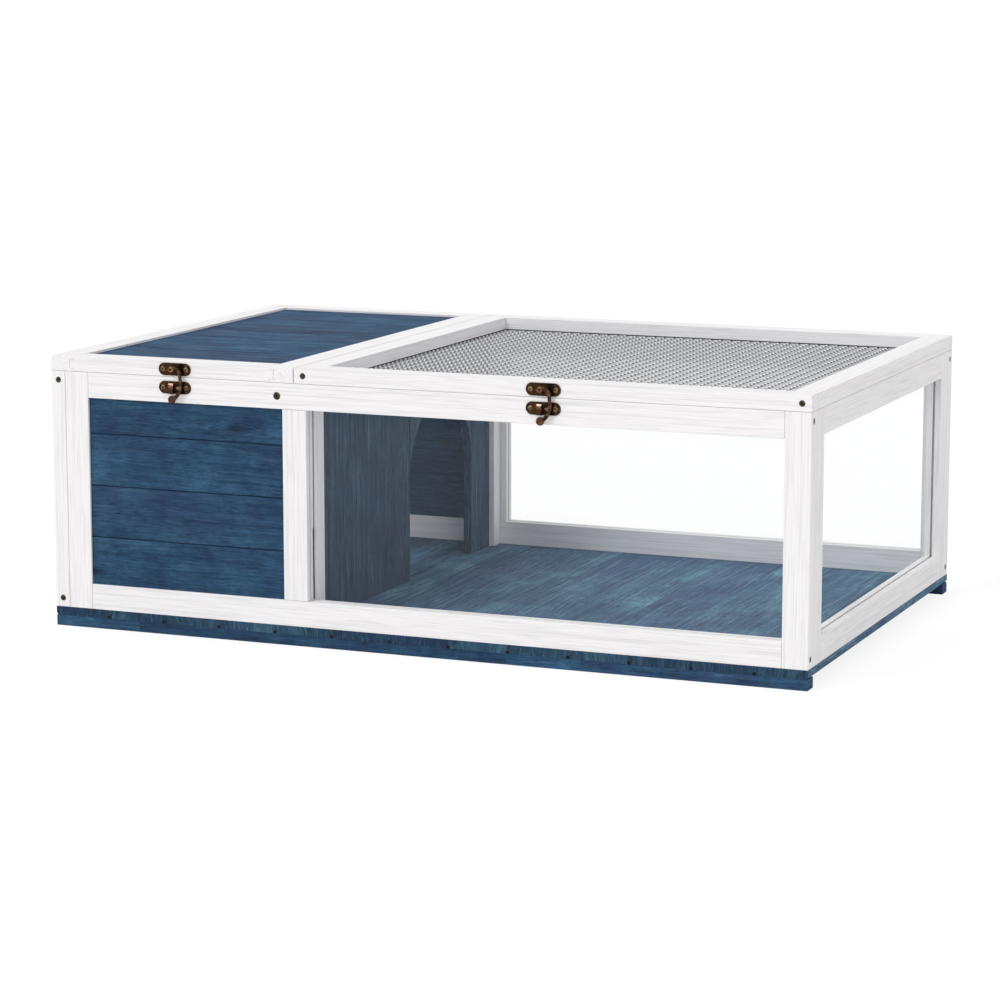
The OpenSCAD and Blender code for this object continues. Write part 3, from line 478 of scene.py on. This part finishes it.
TIMBER = {
    "X": ["front_top_rail", "front_bottom_rail", "rear_top_rail", "rear_bottom_rail",
          "hide_lid_front_rail", "hide_lid_rear_rail", "run_lid_front_rail", "run_lid_rear_rail"],
    "Y": ["left_top_rail", "left_bottom_rail", "right_top_rail", "right_bottom_rail", "cross_rail",
          "hide_lid_left_side", "hide_lid_right_side", "run_lid_left_side", "run_lid_right_side"],
    "Z": ["front_left_stile", "front_middle_stile", "front_right_stile", "rear_left_stile",
          "rear_middle_stile", "rear_right_stile", "left_front_stile", "left_rear_stile",
          "right_front_stile", "right_rear_stile", "divider_battens"],
}
STICK_EDGE, BOARD_EDGE, RUNNER_EDGE, SHORTEST_EDGE = 0.0005, 0.0008, 0.0006, 0.012
JOINT_GAP, BATTEN_GAP = 0.00016, 0.0006
GRAIN_STEP = Vector((0.37, 0.113, 0.071))

stick_number = 0
for along, names in TIMBER.items():
    for name in names:
        stick_number += 1
        finish = white_paint("paint_" + name, along, GRAIN_STEP * stick_number)
        gap = BATTEN_GAP if name == "divider_battens" else JOINT_GAP
        stick = eased(name, STICK_EDGE, SHORTEST_EDGE, gap)
        piece(stick, name + "_eased", body_of[name], [finish], [name])

DIVIDER_TONES = {"divider_front_board": 0.93, "divider_arch_board": 1.12, "divider_rear_board": 1.0}
for number, (name, tone) in enumerate(DIVIDER_TONES.items()):
    finish = blue_stain("stain_" + name, "Z", (0.31 * number, 0.17 * number, 0.4), blues=DIVIDER_BLUES,
                        tone=tone, contrast=1.0, streaks=0.3, knots=0.3)
    board = eased(name, BOARD_EDGE, SHORTEST_EDGE)
    piece(board, name + "_eased", body_of[name], [finish], [name])

# A runner is two lengths of wood of different tone, which meet here
RUNNER_JOINT, RUNNER_LENGTH = -0.3505, 0.461
for number, name in enumerate(["front_runner", "rear_runner"]):
    finish = blue_stain("stain_" + name, "X", (0.2, 0.5 * number, 0.1),
                        ("X", RUNNER_JOINT - RUNNER_LENGTH, RUNNER_LENGTH), tone=0.86, knots=0.3,
                        spread=0.24, seam_shade=1.0)
    runner = eased(name, RUNNER_EDGE, SHORTEST_EDGE)
    piece(runner, name + "_eased", body_of[name], [finish], [name])


def paint_node(name, material):
    mesh = frame["nodes"][name].data
    mesh.materials.clear()
    mesh.materials.append(material)


WALL_BOARDS, LID_BOARDS = ("Z", 0.0472, 0.061), ("Y", -0.2275, 0.065)
FLOOR_SEAM, FLOOR_PITCH, FLOOR_SEAMS = -0.39, 0.0718, 12
floor_low, floor_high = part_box("floor_boards")
paint_node("front_planks", blue_stain("stain_front_planks", "X", (0.0, 0.3, 0.0), WALL_BOARDS))
paint_node("rear_planks", blue_stain("stain_rear_planks", "X", (0.7, 0.1, 0.2), WALL_BOARDS))
paint_node("left_planks", blue_stain("stain_left_planks", "Y", (0.4, 0.6, 0.1), WALL_BOARDS))
paint_node("hide_lid_planks", blue_stain(
    "stain_lid_planks", "X", (0.9, 0.2, 0.5), LID_BOARDS, LID_BLUES, tone=0.74, contrast=1.0, streaks=0.3))
# The floor's tone is set high as painted light, making up for the shade the wire mesh casts on it
paint_node("floor_boards", blue_stain(
    "stain_floor_boards", "Y", (0.1, 0.9, 0.3), ("X", FLOOR_SEAM, FLOOR_PITCH), FLOOR_BLUES, tone=1.58,
    contrast=0.85, streaks=0.35, patches=(9, 13, 13), seam_shade=0.8, upright=0.1, sawn_ends=floor_high.y))

# Painted shade: dark blocks at the ends of the grooves between the floor boards, front and rear
GROOVE_END, GROOVE_ROUNDING, GROOVE_RISE, GROOVE_PROUD = (0.0044, 0.0006, 0.0034), 0.0002, 0.0002, 0.00005
groove_end_shade = bmesh.new()
for k in range(FLOOR_SEAMS):
    for y in (floor_low.y, floor_high.y):
        inward = math.copysign(GROOVE_END[1] / 2 - GROOVE_PROUD, -y)
        centre = (FLOOR_SEAM + FLOOR_PITCH * k, y + inward, floor_low.z + GROOVE_END[2] / 2 + GROOVE_RISE)
        add_bar(groove_end_shade, centre, GROOVE_END, GROOVE_ROUNDING)
piece(groove_end_shade, "floor_groove_end_shade", "house", [painted_shade_black])

# Painted shade: dark strips in the gap between the front middle stile and its batten, wider at the foot:
# (width, share of the height)
BATTEN_SHADE_STRIPS = ((0.0009, 1.0), (0.0026, 0.38))
LINE_DEPTH, LINE_CLEARANCE, LINE_ROUNDING = 0.0005, 0.001, 0.0001
stile_low, stile_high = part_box("front_middle_stile")
batten_gap_shade = bmesh.new()
for width, share in BATTEN_SHADE_STRIPS:
    length = (stile_high.z - stile_low.z) * share
    add_bar(batten_gap_shade, (stile_high.x, stile_high.y - width / 2, stile_low.z + length / 2),
            (LINE_DEPTH, width, length - LINE_CLEARANCE), LINE_ROUNDING)
piece(batten_gap_shade, "batten_gap_shade", "house", [painted_shade_black])

LEAF_EDGE, LEAF_SHORTEST = 0.0003, 0.004
for name in ("frame_hinge_leaves", "hide_lid_hinge_leaves", "run_lid_hinge_leaves"):
    leaves = eased(name, LEAF_EDGE, LEAF_SHORTEST)
    piece(leaves, name + "_eased", body_of[name], [plate_bronze], [name])
for name in ("front_pane", "rear_pane", "right_pane"):
    paint_node(name, pane_clear)
paint_node("hinge_pins", dark_brass)
paint_node("mesh_staples", wire_zinc)


# Screws

HEAD_RISE, SUNK_DEPTH = 0.0009, 0.0002
HEAD_STEPS, RING_STEPS = 36, 32
FIRST_TURN, NEXT_TURN = 0.35, 1.1

# Shares of a head's radius and of its rise
SUNK_FIT, SLOT_WIDTH, SLOT_LENGTH, SLOT_FOOT, CROWN, SKIRT_FLARE = 0.94, 0.21, 1.12, 0.8, 0.82, 1.22
SLOT_DEPTH, CROWN_RISE, SKIRT_RISE = 0.75, 0.86, 0.45


def cross_head(radius, fit):
    """A domed screw head with a sunk cross recess; its flat back lies at z = 0.

    fit: the share of the radius that the head itself fills
    """
    half_width, half_length = radius * SLOT_WIDTH / 2, radius * SLOT_LENGTH / 2
    bm = bmesh.new()
    bmesh.ops.create_grid(bm, x_segments=3, y_segments=3, size=1.0)
    for vert in bm.verts:
        for axis in (0, 1):
            far = abs(vert.co[axis]) > 0.5
            vert.co[axis] = math.copysign(half_length if far else half_width, vert.co[axis])
        vert.co.z = HEAD_RISE
    cross = [f for f in bm.faces
             if min(abs(f.calc_center_median().x), abs(f.calc_center_median().y)) < SAME_PLACE]
    edge_loop = [e for e in bm.edges if e.is_boundary]
    outer = bmesh.ops.create_circle(bm, segments=HEAD_STEPS, radius=radius * fit * CROWN,
                                    matrix=Matrix.Translation((0, 0, HEAD_RISE * CROWN_RISE)))
    circle = [e for e in bm.edges if all(v in outer["verts"] for v in e.verts)]
    bmesh.ops.bridge_loops(bm, edges=edge_loop + circle)
    for scale, height in ((SKIRT_FLARE, HEAD_RISE * SKIRT_RISE), (1.0, 0.0)):
        ring = [e for e in bm.edges if e.is_boundary]
        rim = new_verts(bmesh.ops.extrude_edge_only(bm, edges=ring)["geom"])
        bmesh.ops.scale(bm, verts=rim, vec=(scale, scale, 1))
        for vert in rim:
            vert.co.z = height
    floor = new_verts(bmesh.ops.extrude_face_region(bm, geom=cross)["geom"])
    bmesh.ops.delete(bm, geom=cross, context="FACES_ONLY")
    bmesh.ops.translate(bm, verts=floor, vec=(0, 0, -HEAD_RISE * SLOT_DEPTH))
    bmesh.ops.scale(bm, verts=floor, vec=(SLOT_FOOT, SLOT_FOOT, 1))
    # Painted shade: the floor of the cross recess takes the black second material
    for face in {f for v in floor for f in v.link_faces}:
        face.material_index = 1
    bmesh.ops.recalc_face_normals(bm, faces=bm.faces)
    return bm


def islands(name):
    """The lowest and highest corners of each separate solid of a CAD node, in order of their places."""
    bm = cad_copy(name)
    left = set(bm.verts)
    found = []
    while left:
        group = [left.pop()]
        for vert in group:
            for edge in vert.link_edges:
                other = edge.other_vert(vert)
                if other in left:
                    left.discard(other)
                    group.append(other)
        found.append((Vector(min(v.co[k] for v in group) for k in range(3)),
                      Vector(max(v.co[k] for v in group) for k in range(3))))
    bm.free()
    return sorted(found, key=lambda corners: tuple(corners[0]))


def screw_heads(name, brass, sunk=False):
    """Cross-recessed heads in place of a node of CAD screws; a sunk one has a ring of painted shade round it.
    """
    bm = bmesh.new()
    for number, (low_corner, high_corner) in enumerate(islands(name)):
        size = high_corner - low_corner
        middle = (low_corner + high_corner) / 2
        axis = max(range(3), key=lambda k: size[k])
        outward = Vector((0, 0, 0))
        outward[axis] = math.copysign(1, middle[axis])
        radius = size[(axis + 1) % 3] / 2
        place = middle + outward * (size[axis] / 2 - HEAD_RISE - (SUNK_DEPTH if sunk else 0))
        head = cross_head(radius, SUNK_FIT if sunk else 1)
        add_to(bm, head, facing(place, outward, FIRST_TURN + NEXT_TURN * number))
        if sunk:
            # Painted shade: a black disc behind the sunk head shows as a dark ring
            shade = bmesh.new()
            bmesh.ops.create_circle(shade, cap_ends=True, segments=RING_STEPS, radius=radius)
            add_to(bm, shade, facing(place, outward), 1)
    return piece(bm, name + "_heads", body_of[name], [brass, painted_shade_black], [name])


screw_heads("frame_screws", dark_brass, sunk=True)
screw_heads("run_lid_screws", dark_brass, sunk=True)
for name in ("house_small_screws", "hide_lid_small_screws", "run_lid_small_screws"):
    screw_heads(name, screw_brass)


# Latches, in millimetres round the middle of a plate: x right, y up, z out of the front

MM = Matrix.Scale(0.001, 4)
PLATE_RIM = ((0, 0.75), (0.12, 1.0), (0.4, 1.18), (0.75, 1.2), (1.1, 1.05), (1.5, 1.0))
PLATE_FACE, PLATE_STEPS = 1.0, 64
RIVET_SPOT = (-2.5, 0.0)
SHOULDER_BEND, SHOULDER_STEPS = 7.4, 16
HOOK_RISE = math.radians(31)
HOOK_LEAN = math.radians(5)
HOOK_STRAIGHT = 10.0
HOOK_BEND, HOOK_STEPS = 19.0, 18
HOOK_END = math.radians(-60)
ARM_WIDTH, ARM_WAIST, ARM_THICKNESS, ARM_LEVEL = 2.3, 0.15, 1.1, 5.0
ARM_STEPS, ARM_MERGE = 14, 1e-4
KNOB_SPOT = (0.5, -34.7)
TOOTH_TIP, TIP_HALF, TIP_LEVELS = (5.6, -20.7), 0.5, (3.3, 4.8)
TOOTH_ROOT, ROOT_LEVELS = ((10.7, -24.4), (12.1, -17.3)), (4.0, 5.8)
TOOTH_EDGE = 0.3
TAB_X, TAB_Y, TAB_HEIGHT, TAB_THICKNESS = (-6.8, -0.8), (-6.7, 4.3), 3.75, 0.7
TAB_BEND = ((0, -0.9), (0.15, -0.5), (0.45, -0.18), (0.9, -0.02))
WINDOW_WIDTH, WINDOW_MARGIN, WINDOW_FLOOR = 6.0, 0.7, 0.1

# Round pieces, as (radius, height) points
COLLAR = ((0, 1.0), (4.9, 1.0), (4.7, 1.3), (4.5, 1.5), (4.5, 3.4), (4.2, 3.75), (0, 3.78))
EYE = ((2.0, 4.1), (2.3, 3.9), (3.9, 3.9), (4.35, 4.4), (4.35, 5.1), (4.0, 5.6), (3.3, 5.75),
       (2.3, 5.75), (2.0, 5.6), (2.0, 4.1))
RIVET = ((0, 3.0), (1.8, 3.0), (1.8, 5.6), (3.1, 5.62), (3.2, 5.8), (3.0, 6.2), (2.3, 6.5),
         (1.6, 6.55), (1.3, 6.35), (1.2, 5.9), (1.15, 4.9), (0, 4.8))
RIVET_HOLE, HOLE_FOOT = 1.22, 4.0
KNOB = ((0, 3.8), (3.6, 3.8), (4.4, 4.1), (4.8, 4.7), (4.75, 5.2), (4.3, 5.8), (3.6, 6.1),
        (3.0, 6.05), (2.0, 5.85), (0, 5.8))


def latch_place(plate):
    """From millimetres round the middle of a plate's back to the house."""
    corner, far_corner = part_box(plate)
    middle = (corner + far_corner) / 2
    return (Matrix.Translation((middle.x, far_corner.y, middle.z))
            @ Matrix.Rotation(math.pi / 2, 4, "X") @ MM)


def plate_size(plate):
    corner, far_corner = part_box(plate)
    return (far_corner.x - corner.x) * 1000, (far_corner.z - corner.z) * 1000


def rim_of(geometry):
    """The new edges of an extruded rim, without the ones that lead to it."""
    ends = set(new_verts(geometry))
    return [e for e in geometry if isinstance(e, bmesh.types.BMEdge) and set(e.verts) <= ends]


def window_grid(bm, window, level):
    """One face the size of a catch's window, at a level; gives its corners."""
    (left, right), (bottom, top) = window
    made = bmesh.ops.create_grid(bm, x_segments=1, y_segments=1, size=0.5)["verts"]
    for vert in made:
        vert.co = Vector((left if vert.co.x < 0 else right, bottom if vert.co.y < 0 else top, level))
    return made


def latch_base(length, height, window=None):
    """A plate with round ends, a rolled rim and a slightly dished face, with a window if asked."""
    radius = height / 2
    half = length / 2 - radius
    bm = bmesh.new()
    bmesh.ops.create_circle(bm, segments=PLATE_STEPS, radius=radius,
                            matrix=Matrix.Rotation(math.pi / PLATE_STEPS, 4, "Z"))
    for vert in bm.verts:
        vert.co.x += math.copysign(half, vert.co.x)
    rim = bm.edges[:]
    for inset, level in PLATE_RIM:
        rim = rim_of(bmesh.ops.extrude_edge_only(bm, edges=rim)["geom"])
        for vert in {v for e in rim for v in e.verts}:
            middle = Vector((math.copysign(half, vert.co.x), 0, 0))
            spoke = Vector((vert.co.x, vert.co.y, 0)) - middle
            vert.co = middle + spoke.normalized() * (radius - inset) + Vector((0, 0, level))
    opening = []
    if window:
        made = window_grid(bm, window, PLATE_FACE)
        opening = list({e for v in made for e in v.link_edges})
        bmesh.ops.delete(bm, geom=list({f for v in made for f in v.link_faces}), context="FACES_ONLY")
        wall = new_verts(bmesh.ops.extrude_edge_only(bm, edges=opening)["geom"])
        bmesh.ops.translate(bm, verts=wall, vec=(0, 0, -PLATE_FACE))
    bmesh.ops.triangle_fill(bm, use_beauty=True, edges=rim + opening, normal=(0, 0, 1))
    bmesh.ops.recalc_face_normals(bm, faces=bm.faces)
    return bm


def strap(across, path, thickness):
    """A strip bent along (y, z) points, from one x to another."""
    bm = bmesh.new()
    bmesh.ops.create_grid(bm, x_segments=1, y_segments=len(path) - 1, size=0.5)
    rows = sorted({round(v.co.y, 5) for v in bm.verts})
    for vert in bm.verts:
        y, z = path[rows.index(round(vert.co.y, 5))]
        vert.co = Vector((across[0] if vert.co.x < 0 else across[1], y, z))
    bmesh.ops.recalc_face_normals(bm, faces=bm.faces)
    bmesh.ops.solidify(bm, geom=bm.faces[:], thickness=thickness)
    bmesh.ops.recalc_face_normals(bm, faces=bm.faces)
    return bm


def tab_path():
    """The tab's outline from its foot over its flat to its other foot, as (y, z) points."""
    bottom, top = TAB_Y
    up = [(top, PLATE_FACE)] + [(top - inset, TAB_HEIGHT + drop) for inset, drop in TAB_BEND]
    down = [(bottom, PLATE_FACE)] + [(bottom + inset, TAB_HEIGHT + drop) for inset, drop in TAB_BEND]
    return up + down[::-1]


def arc(middle, radius, first, last, steps):
    """Points of an arc between two angles."""
    return [middle + radius * Vector((math.cos(angle), math.sin(angle)))
            for angle in (first + (last - first) * k / steps for k in range(steps + 1))]


def hook_route():
    """Points of the hook's middle line, from its rivet to its knob."""
    shoulder = SHOULDER_BEND * Vector((math.sin(HOOK_RISE), -math.cos(HOOK_RISE)))
    points = arc(shoulder, SHOULDER_BEND, math.pi / 2 + HOOK_RISE, HOOK_LEAN, SHOULDER_STEPS)
    start = points[-1] + HOOK_STRAIGHT * Vector((math.sin(HOOK_LEAN), -math.cos(HOOK_LEAN)))
    sweep = start - HOOK_BEND * Vector((math.cos(HOOK_LEAN), math.sin(HOOK_LEAN)))
    return points + arc(sweep, HOOK_BEND, HOOK_LEAN, HOOK_END, HOOK_STEPS)


def hook_arm():
    """An oval bar swept along the hook's route."""
    route = hook_route()
    steps = len(route) - 1
    bm = bmesh.new()
    bmesh.ops.create_grid(bm, x_segments=ARM_STEPS, y_segments=steps, size=0.5)
    for vert in bm.verts:
        angle = (vert.co.x + 0.5) * math.tau
        share = vert.co.y + 0.5
        number = round(share * steps)
        ahead = (route[min(number + 1, steps)] - route[max(number - 1, 0)]).normalized()
        half_width = ARM_WIDTH - ARM_WAIST * math.sin(math.pi * share)
        spot = route[number] + Vector((-ahead.y, ahead.x)) * half_width * math.cos(angle)
        vert.co = Vector((spot.x, spot.y, ARM_LEVEL + ARM_THICKNESS * math.sin(angle)))
    bmesh.ops.remove_doubles(bm, verts=bm.verts, dist=ARM_MERGE)
    bmesh.ops.holes_fill(bm, edges=bm.edges, sides=0)
    bmesh.ops.recalc_face_normals(bm, faces=bm.faces)
    return bm


def hook_tooth():
    """The pointed tooth that lies against the catch's tab."""
    tip_x, tip_y = TOOTH_TIP
    tip = ((tip_x, tip_y - TIP_HALF), (tip_x, tip_y + TIP_HALF))
    bm = bmesh.new()
    bmesh.ops.create_cube(bm, size=1.0)
    for vert in bm.verts:
        ends, levels = (tip, TIP_LEVELS) if vert.co.x < 0 else (TOOTH_ROOT, ROOT_LEVELS)
        vert.co = Vector((*ends[vert.co.y > 0], levels[vert.co.z > 0]))
    rounded(bm, bm.edges[:], TOOTH_EDGE)
    return bm


LATCH_PARTS = ("_latch_plate", "_latch_rivet", "_latch_hook", "_catch")
for lid in ("hide", "run"):
    plate, rivet, hook, catch = (lid + part for part in LATCH_PARTS)
    place = latch_place(plate)
    at_rivet = place @ Matrix.Translation((*RIVET_SPOT, 0))
    # The plates and catches carry a band of painted shadow to the right of the hook
    hook_shadowed = bronze("hook_shadowed_bronze_" + lid, *PLATE_BROWNS, PLATE_ROUGHNESS,
                    shadow_at=place.translation.x + HOOK_SHADOW_AT)
    bm = bmesh.new()
    add_to(bm, latch_base(*plate_size(plate)), place)
    add_to(bm, lathe(COLLAR), at_rivet)
    piece(bm, plate + "_dressed", body_of[plate], [hook_shadowed], [plate], smooth=True)

    bm = bmesh.new()
    eyelet = lathe(RIVET)
    # Painted shade: the faces inside the rivet's hole take the black second material
    for face in eyelet.faces:
        centre = face.calc_center_median()
        if centre.xy.length < RIVET_HOLE and centre.z > HOLE_FOOT:
            face.material_index = 1
    add_to(bm, eyelet, at_rivet)
    piece(bm, rivet + "_dressed", body_of[rivet], [highlight_bronze, painted_shade_black],
          [rivet], smooth=True)

    bm = bmesh.new()
    add_to(bm, lathe(EYE), at_rivet)
    add_to(bm, hook_arm(), at_rivet)
    add_to(bm, hook_tooth(), at_rivet, 1)
    add_to(bm, lathe(KNOB), at_rivet @ Matrix.Translation((*KNOB_SPOT, 0)))
    piece(bm, hook + "_dressed", body_of[hook], [hook_bronze, highlight_bronze],
          [hook], smooth=True)

    place = latch_place(catch)
    window = ((TAB_X[0] + WINDOW_MARGIN, TAB_X[1] + WINDOW_WIDTH),
              (TAB_Y[0] + WINDOW_MARGIN, TAB_Y[1] - WINDOW_MARGIN))
    bm = bmesh.new()
    add_to(bm, latch_base(*plate_size(catch), window), place, 0)
    add_to(bm, strap(TAB_X, tab_path(), TAB_THICKNESS), place, 1)
    # Painted shade: a black sheet at the foot of the catch's window
    shade = bmesh.new()
    window_grid(shade, window, WINDOW_FLOOR)
    add_to(bm, shade, place, 2)
    piece(bm, catch + "_dressed", body_of[catch], [hook_shadowed, tab_highlight, painted_shade_black],
          [catch], smooth=True)


# Wire mesh

mesh_low, mesh_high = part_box("wire_mesh")
MESH_MIDDLE = (mesh_low + mesh_high) / 2
MESH_SIZE = mesh_high - mesh_low
LONG_WIRE, CROSS_WIRE, WIRE_SIDES = 0.0015, 0.0009, 6
PITCH_X, PITCH_Y = 0.01255, 0.01213
BEAD_RADIUS, BEAD_SQUASH, BEAD_RISE = 0.0013, 0.8, 0.0003
# How far the painted highlight beads sit from each crossing
HIGHLIGHT_ASIDE = -0.0028
GAP_DEPTH, GAP_HEIGHT, GAP_ROUNDING = 0.0006, 0.0011, 0.0001


def stations(reach, pitch):
    """Even places, a pitch apart, either side of the middle."""
    count = int(reach / pitch)
    return [(k - (count - 1) / 2) * pitch for k in range(count)]


def wires(name, along, thickness, places, reach):
    """Straight wires laid side by side, each a thin bar of six sides."""
    bm = bmesh.new()
    for shift in places:
        bar = bmesh.new()
        bmesh.ops.create_cone(bar, cap_ends=True, segments=WIRE_SIDES, radius1=thickness / 2,
                              radius2=thickness / 2, depth=reach)
        turn = Matrix.Rotation(math.pi / 2, 4, "Y" if along == "X" else "X")
        place = MESH_MIDDLE + (Vector((0, shift, 0)) if along == "X" else Vector((shift, 0, 0)))
        add_to(bm, bar, Matrix.Translation(place) @ turn)
    return piece(bm, name, "run_lid", [wire_zinc], smooth=True)


def beads(name, aside, finish):
    """A small bead at each crossing of the wires, or to one side of it; the dark finish paints shade on the
    welds, the pale one painted highlights beside them.
    """
    bead = bmesh.new()
    bmesh.ops.create_uvsphere(bead, u_segments=8, v_segments=5, radius=BEAD_RADIUS)
    bmesh.ops.scale(bead, verts=bead.verts, vec=(1, 1, BEAD_SQUASH))
    bmesh.ops.translate(bead, verts=bead.verts, vec=MESH_MIDDLE + Vector((aside, 0, BEAD_RISE)))
    held = bpy.data.meshes.new("bead")
    bead.to_mesh(held)
    bead.free()
    bm = bmesh.new()
    for x in stations(MESH_SIZE.x, PITCH_X):
        for y in stations(MESH_SIZE.y, PITCH_Y):
            held.transform(Matrix.Translation((x, y, 0)))
            bm.from_mesh(held)
            held.transform(Matrix.Translation((-x, -y, 0)))
    bpy.data.meshes.remove(held)
    return piece(bm, name, "run_lid", [finish], smooth=True)


def edge_shadow(name):
    """Painted shadow: a dark line between the mesh and the inner faces of its lid."""
    low_x, high_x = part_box("run_lid_left_side")[1].x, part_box("run_lid_right_side")[0].x
    low_y, high_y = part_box("run_lid_front_rail")[1].y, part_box("run_lid_rear_rail")[0].y
    middle_x, middle_y = (low_x + high_x) / 2, (low_y + high_y) / 2
    level = MESH_MIDDLE.z + LONG_WIRE / 2 + GAP_HEIGHT / 2
    bm = bmesh.new()
    for x in (low_x, high_x):
        add_bar(bm, (x, middle_y, level), (GAP_DEPTH, high_y - low_y + GAP_DEPTH, GAP_HEIGHT), GAP_ROUNDING)
    for y in (low_y, high_y):
        add_bar(bm, (middle_x, y, level), (high_x - low_x + GAP_DEPTH, GAP_DEPTH, GAP_HEIGHT), GAP_ROUNDING)
    return piece(bm, name, "run_lid", [painted_shade_black])


long_wires = wires("mesh_long_wires", "X", LONG_WIRE, stations(MESH_SIZE.y, PITCH_Y), MESH_SIZE.x)
wires("mesh_cross_wires", "Y", CROSS_WIRE, stations(MESH_SIZE.x, PITCH_X), MESH_SIZE.y)
# Weld beads at the crossings painted dark as shade, and pale beads beside them as painted highlights
beads("mesh_shaded_welds", 0.0, weld_shade_zinc)
beads("mesh_highlight_beads", HIGHLIGHT_ASIDE, highlight_zinc)
edge_shadow("mesh_edge_shadow")
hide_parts("wire_mesh")


# Light: white surroundings, a soft key from the upper left and a pale floor

AMBIENT, BACKDROP, GROUND_GLOW, GLOW_SHARE = 0.78, 1.0, 1.06, 0.8
KEY_POWER, KEY_ANGLE, KEY_DIRECTION = 1.1, math.radians(25), (0.45, 0.75, -0.95)
FILL_POWER, FILL_SIZE, FILL_PLACE = 0.55, (0.22, 0.30), (-0.17, 0.0, 0.17)
GROUND_GREY, GROUND_ROUGHNESS, GROUND_HALF = srgb(240, 240, 240), 0.9, 12
WHITE = grey(1.0)


def seen_directly(owner):
    """1 for what the camera, a gloss or a clear sheet sees, 0 for the light on surfaces."""
    path = node(owner, "ShaderNodeLightPath")
    first = maths(owner, "MAXIMUM", path.outputs["Is Camera Ray"], path.outputs["Is Glossy Ray"])
    return maths(owner, "MAXIMUM", first, path.outputs["Is Transmission Ray"])


world = bpy.data.worlds.new("studio")
bpy.context.scene.world = world
world.use_nodes = True
world.node_tree.nodes.clear()
ambient = node(world, "ShaderNodeBackground", {"Color": WHITE, "Strength": AMBIENT})
backdrop = node(world, "ShaderNodeBackground", {"Color": WHITE, "Strength": BACKDROP})
sky = node(world, "ShaderNodeMixShader", {
    0: seen_directly(world), 1: ambient.outputs[0], 2: backdrop.outputs[0]})
node(world, "ShaderNodeOutputWorld", {"Surface": sky.outputs[0]})

key_data = bpy.data.lights.new("key", "SUN")
key_data.energy = KEY_POWER
key_data.angle = KEY_ANGLE
key = bpy.data.objects.new("key", key_data)
key.rotation_euler = Vector(KEY_DIRECTION).to_track_quat("-Z", "Y").to_euler()
bpy.context.scene.collection.objects.link(key)

# A weak fill lamp inside the hide, so that its far wall shows through the doorway
fill_data = bpy.data.lights.new("fill", "AREA")
fill_data.shape = "RECTANGLE"
fill_data.size, fill_data.size_y = FILL_SIZE
fill_data.energy = FILL_POWER
fill = bpy.data.objects.new("fill", fill_data)
fill.location = FILL_PLACE
fill.rotation_euler = (0, math.radians(90), 0)
fill.visible_camera = False
fill.visible_glossy = False
bpy.context.scene.collection.objects.link(fill)

ground_finish = bpy.data.materials.new("ground_finish")
ground_finish.use_nodes = True
ground_finish.node_tree.nodes.clear()
ground_surface = node(ground_finish, "ShaderNodeBsdfPrincipled", {
    "Base Color": GROUND_GREY, "Roughness": GROUND_ROUGHNESS})
glow = node(ground_finish, "ShaderNodeEmission", {"Color": WHITE, "Strength": GROUND_GLOW})
ground_mix = node(ground_finish, "ShaderNodeMixShader", {
    0: maths(ground_finish, "MULTIPLY", seen_directly(ground_finish), GLOW_SHARE),
    1: ground_surface.outputs[0], 2: glow.outputs[0]})
node(ground_finish, "ShaderNodeOutputMaterial", {"Surface": ground_mix.outputs[0]})
bm = bmesh.new()
bmesh.ops.create_grid(bm, x_segments=1, y_segments=1, size=GROUND_HALF)
ground_mesh = bpy.data.meshes.new("ground")
bm.to_mesh(ground_mesh)
bm.free()
ground_mesh.materials.append(ground_finish)
ground = bpy.data.objects.new("ground", ground_mesh)
bpy.context.scene.collection.objects.link(ground)
